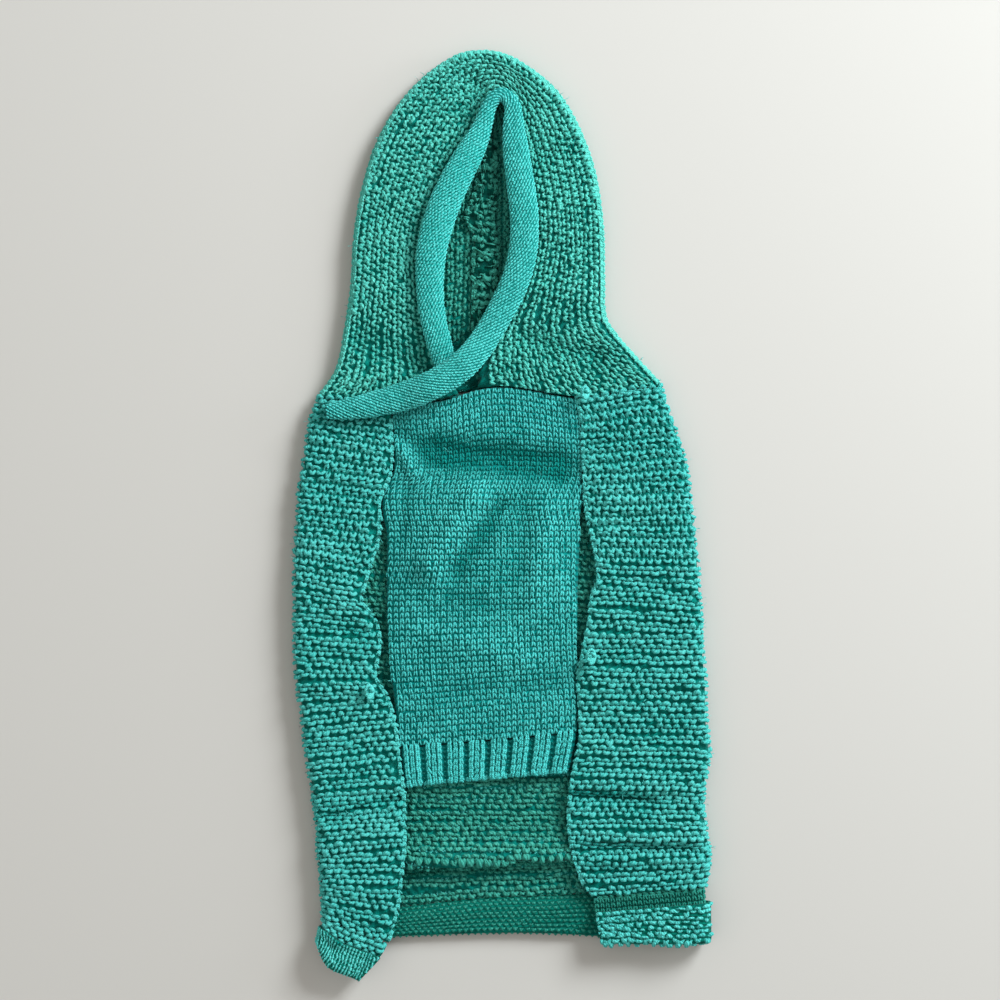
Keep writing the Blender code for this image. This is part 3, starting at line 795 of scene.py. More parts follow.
def refine(grid: np.ndarray, fineness: int) -> np.ndarray:
    """Split each step of a grid into finer ones on smooth curves.

    Args:
        grid: the grid.
        fineness: how many steps each step becomes.

    Returns:
        The finer grid.
    """
    rows, columns = grid.shape[:2]
    fine = resample(grid.reshape(rows, -1), (rows - 1) * fineness + 1)
    fine = fine.reshape(-1, columns, 3).swapaxes(0, 1)
    count = fine.shape[1]
    fine = resample(fine.reshape(columns, -1), (columns - 1) * fineness + 1)
    return fine.reshape(-1, count, 3).swapaxes(0, 1)


def linear(code: str) -> tuple[float, float, float]:
    """Turn an sRGB hex colour into linear values.

    Args:
        code: such as #ff8800.

    Returns:
        Its red, green and blue.
    """
    values = [int(code[i:i + 2], 16) / 255 for i in (1, 3, 5)]
    return tuple(v / 12.92 if v <= 0.04045 else ((v + 0.055) / 1.055) ** 2.4
                 for v in values)


def add_node(tree: bpy.types.NodeTree, kind: str, inputs: dict | None = None,
             **settings: object) -> bpy.types.Node:
    """Add a node with its settings and its inputs.

    Args:
        tree: the material's node tree.
        kind: the node's Blender type.
        inputs: socket name or number to a value, or to a socket to link from.
        settings: attributes of the node.

    Returns:
        The new node.
    """
    node = tree.nodes.new(kind)
    for name, value in settings.items():
        setattr(node, name, value)
    for name, value in (inputs or {}).items():
        if isinstance(value, bpy.types.NodeSocket):
            tree.links.new(value, node.inputs[name])
        else:
            node.inputs[name].default_value = value
    return node


@dataclass(frozen=True)
class Finish:
    """Knitted acrylic in a lit colour and a shaded colour, painted light and painted
    shade, mixed by a pattern that also stands up.
    """

    name: str
    light: str          # painted light: colour where the yarn catches the light
    dark: str           # painted shade: colour of its hollows

    def pattern(self, tree: bpy.types.NodeTree) -> tuple:
        """Build the pattern.

        Args:
            tree: the material's node tree.

        Returns:
            The socket that gives the share of the light colour, and the inputs
            of the bump.
        """
        raise NotImplementedError

    def shading(self) -> dict:
        """Constants of the shader, by the names of its sockets."""
        raise NotImplementedError

    def build(self) -> bpy.types.Material:
        """Make the material.

        Returns:
            The material, or the one made before under this name.
        """
        made = bpy.data.materials.get(self.name)
        if made:
            return made
        material = bpy.data.materials.new(self.name)
        material.use_nodes = True
        tree = material.node_tree
        shader = tree.nodes["Principled BSDF"]
        share, relief = self.pattern(tree)
        # Painted light and shade: the pattern's share mixes the shaded colour into the
        # lit one
        colour = add_node(tree, "ShaderNodeMix",
                          {"Factor": share, "A": (*linear(self.dark), 1.0),
                           "B": (*linear(self.light), 1.0)}, data_type="RGBA")
        tree.links.new(colour.outputs["Result"], shader.inputs["Base Color"])
        bump = add_node(tree, "ShaderNodeBump", relief)
        tree.links.new(bump.outputs[0], shader.inputs["Normal"])
        for socket, value in self.shading().items():
            shader.inputs[socket].default_value = value
        return material


@dataclass(frozen=True)
class YarnFinish(Finish):
    """Acrylic yarn, spun and plied: matt, with a soft halo of fibre ends."""

    sheen: float = 0.12
    ply_mm: float = 1.6         # length of one twist of the plies
    ply_bump: float = 0.55
    mottle_mm: float = 14.0     # size of the slow changes of tone
    fibre_mm: float = 0.25      # size of the fuzz
    ply_tone: tuple = (0.45, 1.0)       # share of the lit colour between plies and on them: painted shade between the plies
    mottle: float = 0.14        # change of that share from the slow changes of tone

    def pattern(self, tree: bpy.types.NodeTree) -> tuple:
        """Build the twist of the plies with painted shade between them, the fuzz and the
        slow drift of tone.

        Args:
            tree: the material's node tree.

        Returns:
            The share of the light colour and the inputs of the bump.
        """
        place = add_node(tree, "ShaderNodeTexCoord")
        turns = add_node(tree, "ShaderNodeSeparateXYZ", {0: place.outputs["UV"]})
        angle = add_node(tree, "ShaderNodeMath",
                         {0: turns.outputs["X"], 1: 1.0 / self.ply_mm,
                          2: turns.outputs["Y"]}, operation="MULTIPLY_ADD")
        wave = add_node(tree, "ShaderNodeMath", {0: angle.outputs[0], 1: 4 * math.pi},
                        operation="MULTIPLY")
        plies = add_node(tree, "ShaderNodeMath", {0: wave.outputs[0]}, operation="SINE")
        fibre, slow = (
            add_node(tree, "ShaderNodeTexNoise",
                     {"Vector": place.outputs["Object"], "Scale": 1000.0 / size,
                      "Detail": 2.0}) for size in (self.fibre_mm, self.mottle_mm))
        # Painted shade: darker in the grooves between the plies
        tone = add_node(tree, "ShaderNodeMapRange",
                        {"Value": plies.outputs[0], "From Min": -1.0, "From Max": 1.0,
                         "To Min": self.ply_tone[0], "To Max": self.ply_tone[1]})
        tint = add_node(tree, "ShaderNodeAttribute", attribute_name="tint")
        drift = add_node(tree, "ShaderNodeMapRange",
                         {"Value": slow.outputs["Fac"], "From Min": 0.3,
                          "From Max": 0.7, "To Min": -self.mottle,
                          "To Max": self.mottle})
        # Each stitch's tint: its random tone plus the painted shade and light of the
        # folds it lies in
        mix = add_node(tree, "ShaderNodeMath",
                       {0: tone.outputs[0], 1: tint.outputs["Fac"]}, operation="ADD")
        mixed = add_node(tree, "ShaderNodeMath", {0: mix.outputs[0],
                                                  1: drift.outputs[0]},
                         operation="ADD", use_clamp=True)
        height = add_node(tree, "ShaderNodeMath",
                          {0: plies.outputs[0], 1: fibre.outputs["Fac"]},
                          operation="ADD")
        return mixed.outputs[0], {"Height": height.outputs[0],
                                  "Strength": self.ply_bump, "Distance": 0.16 * MM}

    def shading(self) -> dict:
        """Matt, and paler at a glancing angle, where loose fibre ends stand."""
        return {"Roughness": 0.86, "Specular IOR Level": 0.1,
                "Sheen Weight": self.sheen, "Sheen Roughness": 0.45,
                "Sheen Tint": (*linear("#6fe8dc"), 1.0)}


@dataclass(frozen=True)
class GroundFinish(Finish):
    """The knit behind the raised stitches: the same yarn, made darker as painted shade in
    the gaps between the stitches.

    Its UV map is in millimetres on the cloth.
    """

    stitch_mm: float = 3.15
    ridge_mm: float = 4.4
    depth_mm: float = 0.7
    fibre_mm: float = 0.625     # size of the fuzz

    def pattern(self, tree: bpy.types.NodeTree) -> tuple:
        """Build the bumps of the stitches, with painted shade between them, and the fuzz.

        Args:
            tree: the material's node tree.

        Returns:
            The share of the light colour and the inputs of the bump.
        """
        place = add_node(tree, "ShaderNodeTexCoord")
        split = add_node(tree, "ShaderNodeSeparateXYZ", {0: place.outputs["UV"]})
        waves = []
        for axis, pitch in (("X", self.stitch_mm), ("Y", self.ridge_mm)):
            turn = add_node(tree, "ShaderNodeMath",
                            {0: split.outputs[axis], 1: 2 * math.pi / pitch},
                            operation="MULTIPLY")
            waves.append(add_node(tree, "ShaderNodeMath", {0: turn.outputs[0]},
                                  operation="SINE"))
        bumps = add_node(tree, "ShaderNodeMath",
                         {0: waves[0].outputs[0], 1: 0.5, 2: waves[1].outputs[0]},
                         operation="MULTIPLY_ADD")
        fibre = add_node(tree, "ShaderNodeTexNoise",
                         {"Vector": place.outputs["Object"],
                          "Scale": 1000.0 / self.fibre_mm, "Detail": 3.0})
        rough = add_node(tree, "ShaderNodeMath",
                         {0: fibre.outputs["Fac"], 1: 1.2, 2: bumps.outputs[0]},
                         operation="MULTIPLY_ADD")
        share = add_node(tree, "ShaderNodeMapRange",
                         {"Value": rough.outputs[0], "From Min": -1.0,
                          "From Max": 2.2})
        return share.outputs[0], {"Height": rough.outputs[0], "Strength": 0.8,
                                  "Distance": self.depth_mm * MM}

    def shading(self) -> dict:
        """Matt and dull, because it lies in the shade of the stitches."""
        return {"Roughness": 0.9, "Specular IOR Level": 0.05, "Sheen Weight": 0.05}


GARTER_YARN = YarnFinish("acrylic_yarn_garter", "#55bfb8", "#00968e")
HOOD_YARN = YarnFinish("acrylic_yarn_hood", "#5fc8ba", "#009487")
# Painted shade: the inside of the coat is the same yarn, made darker where it lies in
# shade
INSIDE_YARN = YarnFinish("acrylic_yarn_inside", "#42a392", "#00685b")
BELLY_YARN = YarnFinish("acrylic_yarn_belly", "#50cbc7", "#00867f", ply_mm=1.2)
BAND_YARN = YarnFinish("acrylic_yarn_band", "#62dbd6", "#14a79f", ply_mm=1.0)
HEM_YARN = YarnFinish("acrylic_yarn_hem", "#389786", "#00675b", ply_mm=1.2)
EDGE_YARN = YarnFinish("acrylic_yarn_edge", "#5ed0c9", "#008b83", ply_mm=1.2)
# Painted shade: each ground is darker than its yarn, for the gaps between the stitches;
# the inside one darker still
GARTER_GROUND = GroundFinish("knit_ground_garter", "#007f74", "#005c54")
INSIDE_GROUND = GroundFinish("knit_ground_inside", "#005f53", "#003c35")
BELLY_GROUND = GroundFinish("knit_ground_belly", "#008580", "#00625e", 2.2, 2.1, 0.3)
HEM_GROUND = GroundFinish("knit_ground_hem", "#007263", "#004e45", 2.2, 1.5, 0.2)
BAND_GROUND = GroundFinish("knit_ground_band", "#159a92", "#007a74", 1.4, 1.3, 0.2)


class Stitch:
    """One stitch of yarn: a few strands, modelled once and laid many times."""

    def __init__(self, strands: Sequence[np.ndarray], radius: float, sides: int) -> None:
        """Build the strands.

        Args:
            strands: paths of each strand, in mm: across, along and up.
            radius: of the yarn, in mm.
            sides: of its section.
        """
        mesh = bmesh.new()
        layer = mesh.loops.layers.uv.new("yarn")
        for path in strands:
            add_strand(mesh, layer, path, radius, sides)
        mesh.verts.index_update()
        self.points = np.array([vertex.co for vertex in mesh.verts])
        self.faces = [[vertex.index for vertex in face.verts] for face in mesh.faces]
        self.uvs = np.array([loop[layer].uv for face in mesh.faces
                             for loop in face.loops])
        mesh.free()


def add_strand(mesh: bmesh.types.BMesh, layer: bmesh.types.BMLayerItem,
               path: np.ndarray, radius: float, sides: int) -> None:
    """Sweep a ring along a path and close its ends.

    Args:
        mesh: the mesh to add to.
        layer: its UV layer; U is the length in mm, V the share of a turn.
        path: points of the middle of the yarn, in mm.
        radius: of the yarn.
        sides: of its section.
    """
    tangents = unit(np.gradient(path, axis=0))
    lengths = lengths_along(path)
    ring = bmesh.ops.create_circle(mesh, segments=sides, radius=radius,
                                   cap_ends=False)["verts"]
    flat = [vertex.co.copy() for vertex in ring]
    rings = []
    for index, (place, tangent) in enumerate(zip(path, tangents)):
        if index:
            edges = [edge for edge in {edge for vertex in rings[-1]
                                       for edge in vertex.link_edges}
                     if edge.verts[0] in rings[-1] and edge.verts[1] in rings[-1]]
            made = bmesh.ops.extrude_edge_only(mesh, edges=edges)["geom"]
            fresh = [item for item in made if isinstance(item, bmesh.types.BMVert)]
            before = [vertex.co.copy() for vertex in rings[-1]]
            ring = [min(fresh, key=lambda vertex, at=at: (vertex.co - at).length)
                    for at in before]
        turn = Vector(tangent).to_track_quat("Z", "X").to_matrix()
        for vertex, at in zip(ring, flat):
            vertex.co = turn @ at + Vector(place)
        rings.append(ring)
    turn_of = {vertex: index / sides for one in rings for index, vertex in enumerate(one)}
    length_of = {vertex: lengths[i] for i, one in enumerate(rings) for vertex in one}
    ends = [edge for one in (rings[0], rings[-1]) for edge in
            {edge for vertex in one for edge in vertex.link_edges} if edge.is_boundary]
    bmesh.ops.holes_fill(mesh, edges=ends, sides=sides)
    faces = list({face for vertex in turn_of for face in vertex.link_faces})
    bmesh.ops.recalc_face_normals(mesh, faces=faces)
    for face in faces:
        shares = [turn_of[loop.vert] for loop in face.loops]
        wraps = max(shares) - min(shares) > 0.5
        for loop, share in zip(face.loops, shares):
            loop[layer].uv = (length_of[loop.vert], share + (wraps and share < 0.5))


class Knit(Enum):
    """The knits of the coat."""

    GARTER = "garter"
    NET = "net"
    HOOD = "hood"
    PLAIN = "plain"
    RIB = "rib"
    GROOVE = "groove"
    FINE = "fine"
    PURL = "purl"
    CHAIN = "chain"
    HIDDEN = "hidden"


def arch(wide: float, high: float, along: float, rise: float, sign: int,
         steps: int) -> np.ndarray:
    """Path of a purl bump: an arch that dives into the cloth at its ends.

    Args:
        wide: half its width, in mm.
        high: how far its crown reaches.
        along: where it starts along the wale.
        rise: how far it stands up.
        sign: 1 where the crown points along the wale, else -1.
        steps: points of the path.

    Returns:
        The path, in mm.
    """
    angle = np.linspace(-0.16 * math.pi, 1.16 * math.pi, steps)
    return np.column_stack((-wide * np.cos(angle),
                            along + sign * high * np.sin(angle),
                            -0.35 + rise * np.sin(angle)))


def leg(wide: float, high: float, rise: float, side: int, steps: int,
        lean: float = 0.62) -> np.ndarray:
    """Path of one leg of a plain stitch, leaning in towards its foot.

    Args:
        wide: how far out its top starts, in mm.
        high: its length.
        rise: how far it stands up.
        side: 1 for the right leg, else -1.
        steps: points of the path.
        lean: share of its width that it leans in.

    Returns:
        The path, in mm.
    """
    share = np.linspace(0, 1, steps)
    return np.column_stack((side * wide * (1 - lean * share ** 0.8),
                            high * (0.66 - 1.32 * share),
                            -0.25 + rise * np.sin(math.pi * share) ** 0.7))


def make_stitches() -> dict[Knit, Stitch]:
    """Model each stitch once.

    A garter ridge is two rows of bumps, the lower one half a stitch along.

    Returns:
        The stitch of every knit.
    """
    half, half_hood = (1.575, 0, 0), (1.48, 0, 0)
    garter = [arch(0.95, 0.68, 0.46, 1.3, 1, 6),
              arch(0.95, 0.62, -0.42, 1.12, -1, 6) + half]
    net = [arch(1.0, 1.0, 0.5, 1.25, 1, 6), arch(0.95, 0.95, -0.72, 1.05, -1, 6) + half]
    hood = [arch(0.92, 0.76, 0.36, 1.2, 1, 6),
            arch(0.88, 0.72, -0.5, 1.05, -1, 6) + half_hood]
    hidden = [arch(1.0, 0.9, 0.36, 0.9, 1, 4), arch(1.0, 0.9, -0.36, 0.9, -1, 4) + half]
    purl = [arch(0.62, 0.42, 0.05, 0.85, 1, 5)]
    plain = [leg(0.76, 1.5, 0.66, side, 4, 0.74) for side in (-1, 1)]
    rib = [leg(0.55, 1.9, 0.6, side, 5, 0.45)[:, (1, 0, 2)] for side in (-1, 1)]
    groove = [arch(0.7, 0.35, 0.1, 0.7, 1, 5)[:, (1, 0, 2)]]
    fine = [leg(0.2, 1.25, 0.34, 1, 4, 2.0)]
    chain = [leg(0.5, 1.35, 0.6, side, 5)[:, (1, 0, 2)] for side in (-1, 1)]
    made = ((Knit.GARTER, garter, 0.76, 5), (Knit.NET, net, 0.68, 5),
            (Knit.HOOD, hood, 0.62, 5), (Knit.HIDDEN, hidden, 0.6, 4),
            (Knit.PURL, purl, 0.52, 4), (Knit.PLAIN, plain, 0.37, 4),
            (Knit.RIB, rib, 0.46, 5), (Knit.GROOVE, groove, 0.45, 4),
            (Knit.FINE, fine, 0.4, 4), (Knit.CHAIN, chain, 0.48, 5))
    return {knit: Stitch(strands, radius, sides) for knit, strands, radius, sides in made}


UNEVEN = 0.06           # how far each point of a stitch strays, in mm
TINT_SPREAD = 0.08      # how much the tints of the stitches differ


class Pile:
    """Stitches gathered for one piece."""

    def __init__(self, seed: int) -> None:
        """Start empty, with a seed for the small unevenness of hand knitting.

        Args:
            seed: of every random draw.
        """
        self.chance = np.random.default_rng(seed)
        self.points: list = []
        self.faces: list = []
        self.uvs: list = []
        self.tints: list = []
        self.count = 0

    def add(self, stitch: Stitch, at: np.ndarray, tint: float | np.ndarray) -> None:
        """Add laid copies of a stitch.

        Args:
            stitch: the stitch.
            at: (copies, points, 3) places of its points, in mm.
            tint: how much lighter or darker the copies are, together or each.
        """
        copies, size = at.shape[:2]
        at = at + self.chance.normal(0, UNEVEN, at.shape)
        at[..., 2] = np.maximum(at[..., 2], 0.0)
        self.points.append(at.reshape(-1, 3))
        for first in range(self.count, self.count + copies * size, size):
            self.faces.extend([[first + v for v in face] for face in stitch.faces])
        shift = self.chance.random((copies, 1, 2)) * (5.0, 1.0)
        self.uvs.append((stitch.uvs[None] + shift).reshape(-1, 2))
        tints = self.chance.normal(tint, TINT_SPREAD, copies)
        self.tints.append(np.repeat(tints, size))
        self.count += copies * size

    def finish(self, name: str) -> bpy.types.Object:
        """Join everything laid in one piece, linked and shaded smooth.

        Args:
            name: of the piece.

        Returns:
            Its object.
        """
        data = bpy.data.meshes.new(name)
        data.from_pydata((np.concatenate(self.points) * MM).tolist(), [], self.faces)
        layer = data.uv_layers.new(name="yarn")
        layer.data.foreach_set("uv", np.concatenate(self.uvs).astype(np.float32).ravel())
        tint = data.attributes.new("tint", "FLOAT", "POINT")
        tint.data.foreach_set("value", np.concatenate(self.tints).astype(np.float32))
        data.shade_smooth()
        item = bpy.data.objects.new(name, data)
        bpy.context.scene.collection.objects.link(item)
        return item


FOLD_DEPTHS = (-2.6, 1.6)       # heights between which a fold's painted shade and light change the tint, mm
ROW_SPREADS = (0.85, 2.2)       # limits to how far a row is drawn apart


@dataclass
class Bed:
    """Where stitches are laid on a surface, in rows across it."""

    surface: Surface
    stitch: Stitch
    pitch: float                # from stitch to stitch along a row, mm
    spacing: float              # from row to row, mm
    first: float                # columns between which stitches lie
    last: float
    guide: float                # column along which the rows are spaced
    anchor: float               # column that the stitches line up on
    base: float = 0.0           # how far above the surface they lie, mm
    margin: tuple = (0.6, 0.6)  # stitches kept clear of the two sides, in mm
    rows: tuple = (0.0, 1.0)    # shares of the length that they cover
    stagger: float = 0.0        # shift of every other row, in stitches
    drift: float = 0.0          # shift of each row past the last, in stitches
    phase: float = 0.5          # where in its share of the length a row lies
    widest: float = 0.0         # spread of the rows past which stitches are laid
    jitter: float = 0.05
    wander: float = 0.0         # how far the rows stray from straight, in mm
    slant: float = 0.0          # radians that each stitch is turned
    tint: float = 0.0
    folds: tuple = ()           # creases that it lies in: painted shade, darker where deeper, and lighter on welts
    fold_shade_and_light: float = 0.13     # painted shade and light: change of tint for each mm of their height
    stretch: float = 1.6        # how much stitches differ in size, to the jitter
    wobble: float = 0.6         # how far they stray, in stitches, to the jitter

    def lay(self, pile: Pile) -> None:
        """Lay the stitches of every row on a pile.

        Args:
            pile: where the stitches go.
        """
        guide = self.surface.along_column(self.guide)
        low, high = guide[-1] * self.rows[0], guide[-1] * self.rows[1]
        number = max(int(round((high - low) / self.spacing)), 1)
        spacing = (high - low) / number
        for index in range(number):
            self.lay_row(pile, guide, low + (index + self.phase) * spacing, index)

    def lay_row(self, pile: Pile, guide: np.ndarray, middle: float, index: int) -> None:
        """Lay one row.

        Args:
            pile: where the stitches go.
            guide: length along the guide column at each of its rows.
            middle: the row's place along it, in mm.
            index: the row's number.
        """
        chance, local = pile.chance, self.stitch.points
        places = np.arange(self.surface.rows, dtype=float)
        columns = np.arange(self.surface.columns, dtype=float)
        line = self.surface.along_row(float(np.interp(middle, guide, places)))
        span = np.interp((self.first, self.last), columns, line)
        start = np.interp(self.anchor, columns, line) + self.pitch * (
            self.stagger * (index % 2) + self.drift * index + 0.5)
        low = math.ceil((span[0] + self.margin[0] - start) / self.pitch)
        high = math.floor((span[1] - self.margin[1] - start) / self.pitch)
        if high < low:
            return
        centres = start + np.arange(low, high + 1) * self.pitch
        spread = self.spread(guide, float(np.interp(middle, guide, places)),
                             np.interp(centres, line, columns))
        centres, spread = centres[spread > self.widest], spread[spread > self.widest]
        count = len(centres)
        if not count:
            return
        turn = self.slant + chance.normal(0, self.jitter, (count, 1))
        stretch = 1 + chance.normal(0, self.jitter * self.stretch, (3, count, 1))
        wide, long = local[:, 0] * stretch[0], local[:, 1] * stretch[1]
        across = wide * np.cos(turn) - long * np.sin(turn)
        along = wide * np.sin(turn) + long * np.cos(turn)
        wobble = chance.normal(0, self.jitter * self.pitch * self.wobble, (2, count, 1))
        # A running mean of seven draws, so that neighbours stray together
        stray = np.convolve(chance.normal(0, 1, count + 6), np.ones(7) / 2.6, "valid")
        across = centres[:, None] + across + wobble[0]
        along = (middle + along / spread[:, None] + wobble[1]
                 + self.wander * stray[:, None])
        at, normal = self.surface.read(np.interp(along, guide, places),
                                       np.interp(across, line, columns))
        up = self.base + local[:, 2] * stretch[2]
        # Painted shade and light: a stitch in a trough is tinted darker, on a welt
        # lighter
        deep = crease_height(at[..., :2].mean(axis=1), self.folds)
        tint = self.tint + self.fold_shade_and_light * np.clip(deep, *FOLD_DEPTHS)
        pile.add(self.stitch, at + normal * up[..., None], tint)

    def spread(self, guide: np.ndarray, row: float, columns: np.ndarray) -> np.ndarray:
        """How much wider apart the rows are at some columns than at the guide.

        Args:
            guide: length along the guide column at each of its rows.
            row: the row asked for.
            columns: the columns asked for.

        Returns:
            The share, kept near one where the rows crowd.
        """
        ends = np.clip((row - 0.5, row + 0.5), 0, self.surface.rows - 1)
        behind, ahead = (self.surface.read(np.full(columns.shape, end), columns)[0]
                         for end in ends)
        apart = np.linalg.norm(ahead - behind, axis=1)
        step = np.ptp(np.interp(ends, np.arange(self.surface.rows), guide))
        return np.clip(apart / max(step, 1e-6), *ROW_SPREADS)


def read_along(line: np.ndarray, length: np.ndarray, at: np.ndarray) -> np.ndarray:
    """Read the points of a line, or what goes with them, at lengths along it."""
    return np.column_stack([np.interp(at, length, axis) for axis in line.T])


@dataclass
class Run:
    """A line of stitches along a path: an edge, a seam or a single row."""

    path: np.ndarray            # (points, 3) in mm
    normals: np.ndarray
    stitch: Stitch
    pitch: float
    base: float = 0.0
    jitter: float = 0.08
    tint: float = 0.0

    def lay(self, pile: Pile) -> None:
        """Lay the stitches on a pile.

        Args:
            pile: where the stitches go.
        """
        chance, local = pile.chance, self.stitch.points
        length = lengths_along(self.path)
        count = max(int(length[-1] / self.pitch), 1)
        places = (np.arange(count) + 0.5) * length[-1] / count
        places = places + chance.normal(0, self.jitter * self.pitch, count)
        middle, behind, ahead = (
            read_along(self.path, length, places + shift) for shift in (0.0, -0.6, 0.6))
        tangent = unit(ahead - behind)
        normal = unit(read_along(self.normals, length, places))
        side = unit(np.cross(normal, tangent))
        turn = chance.normal(0, self.jitter * 2, (count, 1))
        tangent, side = (tangent * np.cos(turn) + side * np.sin(turn),
                         side * np.cos(turn) - tangent * np.sin(turn))
        stretch = 1 + chance.normal(0, self.jitter, (3, count, 1, 1))
        at = (middle[:, None] + tangent[:, None] * local[:, 0, None] * stretch[0]
              + side[:, None] * local[:, 1, None] * stretch[1]
              + normal[:, None] * (self.base + local[:, 2, None] * stretch[2]))
        pile.add(self.stitch, at, self.tint)


def along_edge(surface: Surface, column: float, rows: tuple, stitch: Stitch,
               pitch: float, reach: float = 0.0, **settings: float) -> Run:
    """A run of stitches along a column of a surface.

    Args:
        surface: what it lies on.
        column: where.
        rows: shares of the surface's rows that it covers.
        stitch: the stitch.
        pitch: from one to the next, in mm.
        reach: how far it starts before the first row, in mm.
        settings: the run's other values.

    Returns:
        The run.
    """
    span = np.linspace(rows[0], rows[1], 160) * (surface.rows - 1)
    path, normals = surface.read(span, np.full(span.shape, float(column)))
    path[0] -= unit(path[1] - path[0]) * reach
    return Run(path, normals, stitch, pitch, **settings)


def along_row(surface: Surface, row: float, columns: tuple, stitch: Stitch,
              pitch: float, **settings: float) -> Run:
    """A run of stitches along a row of a surface, between two columns.

    Args:
        surface: what it lies on.
        row: where.
        columns: the first and the last column.
        stitch: the stitch.
        pitch: from one to the next, in mm.
        settings: the run's other values.

    Returns:
        The run.
    """
    span = np.linspace(columns[0], columns[1], 120)
    path, normals = surface.read(np.full(span.shape, float(row)), span)
    return Run(path, normals, stitch, pitch, **settings)


def make_cloth(name: str, surface: Surface, outer: float, thickness: float
               ) -> bpy.types.Object:
    """Build a closed cloth on a surface with a UV map in millimetres.

    Args:
        name: of the piece.
        surface: the middle of the solid's wall.
        outer: how far outside it the outer face lies, in mm.
        thickness: of the cloth in mm.

    Returns:
        The cloth's object.
    """
    rows, columns = surface.rows, surface.columns
    mesh = bmesh.new()
    bmesh.ops.create_grid(mesh, x_segments=columns - 1, y_segments=rows - 1, size=1)
    outside = surface.points + surface.normals * outer
    inside = (outside - surface.normals * thickness).reshape(-1, 3)
    outside[..., 2] = np.maximum(outside[..., 2], 0.0)
    inside[..., 2] = np.maximum(inside[..., 2], 0.0)
    for vertex, place in zip(mesh.verts, outside.reshape(-1, 3)):
        vertex.co = place * MM
    mesh.verts.ensure_lookup_table()
    mesh.verts.index_update()
    across = np.array([surface.along_row(row) for row in range(rows)]).ravel()
    along = np.array([surface.along_column(col) for col in range(columns)]).T.ravel()
    layer = mesh.loops.layers.uv.new("cloth")
    for face in mesh.faces:
        for loop in face.loops:
            loop[layer].uv = (across[loop.vert.index], along[loop.vert.index])
    mesh.normal_update()
    middle = rows // 2 * columns + columns // 2
    if mesh.verts[middle].normal.dot(Vector(surface.normals.reshape(-1, 3)[middle])) < 0:
        bmesh.ops.reverse_faces(mesh, faces=mesh.faces)
    number = mesh.verts.layers.int.new("number")
    for index, vertex in enumerate(mesh.verts):
        vertex[number] = index
    bmesh.ops.solidify(mesh, geom=mesh.faces, thickness=thickness * MM)
    mesh.verts.ensure_lookup_table()
    for vertex in mesh.verts[rows * columns:]:
        vertex.co = inside[vertex[number]] * MM
    mesh.verts.layers.int.remove(number)
    data = bpy.data.meshes.new(name)
    mesh.to_mesh(data)
    mesh.free()
    data.shade_smooth()
    item = bpy.data.objects.new(name, data)
    bpy.context.scene.collection.objects.link(item)
    return item


def from_side(points: np.ndarray, fineness: int) -> np.ndarray:
    """Steps of the coarse grid from each column of a fine one to its nearer side."""
    columns = np.arange(points.shape[1])
    return np.minimum(columns, points.shape[1] - 1 - columns) / fineness


@dataclass
class Piece:
    """What every sub-assembly of the coat shares."""

    stitches: dict
    shift: Vector               # from the tables' frame to where the solids stand

    def dress(self, item: bpy.types.Object, finish: Finish, slot: str) -> None:
        """Place a piece and give it its finish and its body.

        Args:
            item: the piece.
            finish: what it is knitted in.
            slot: the slot that it belongs to; not used.
        """
        item.data.transform(Matrix.Translation(self.shift))
        item.data.materials.clear()
        item.data.materials.append(finish.build())
        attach(item, "root")
        LOG.info("%s: %d triangles", item.name,
                 sum(len(face.vertices) - 2 for face in item.data.polygons))

    def knit(self, name: str, parts: Sequence[Bed | Run], seed: int,
             finish: YarnFinish, slot: str) -> None:
        """Lay stitches on beds and along runs, join them in one piece and dress it.

        Args:
            name: of the piece.
            parts: the beds and runs.
            seed: of the small unevenness of hand knitting.
            finish: of the yarn.
            slot: the slot that it belongs to.
        """
        pile = Pile(seed)
        for part in parts:
            part.lay(pile)
        self.dress(pile.finish(name), finish, slot)


# How unevenly the garter stitch of the back is knitted
LOOSE = {"wander": 0.2, "jitter": 0.085, "stagger": 0.5}
BLEND = 1.2             # steps of a grid over which creases fade out at a fold

# Creases finer than the solids show, in the frame of the tables
BACK_FOLDS = rows_of(
    Crease,
    ((25, -102.6), (55, -104.4), -1.9, 1.5),  # right flap, waist fold
    ((26, -99.6), (70, -100.6), 0.8, 1.9),
    ((33, -117.3), (72, -118.6), 0.7, 1.6),
    ((30, -121.6), (70, -122.6), -0.9, 1.3),
    ((30, -126), (72, -127), 0.6, 1.6),
    ((31, -130.2), (68, -130.6), -0.7, 1.2),
    ((-66, -110.2), (-38, -104.6), -1.9, 1.5),  # left flap, waist fold
    ((-64, -114), (-37, -108.8), -1.2, 1.3),
    ((-63.5, -105.8), (-41, -102), -0.7, 1.4),
    ((-66, -122), (-40, -118), 0.7, 2.4),
    ((-62, -136), (-42, -138), 0.6, 3),
    ((-74, 30), (-46, 24), 0.8, 4),  # left flap, upper
    ((-72, 12), (-50, 8), -0.8, 3.2),
    ((-60, -30), (-70, -10), 0.9, 5),
    ((-70, -60), (-50, -66), 0.6, 4),
    ((-68, -86), (-44, -84), -0.6, 3.2),
    ((36, 26), (62, 30), -0.7, 3.2),  # right flap, upper
    ((40, 8), (66, 2), 0.8, 4.4),
    ((44, -22), (70, -30), -0.7, 3.6),
    ((34, -62), (70, -58), 0.6, 4.2),
    ((36, -78), (72, -80), -0.6, 3),
)
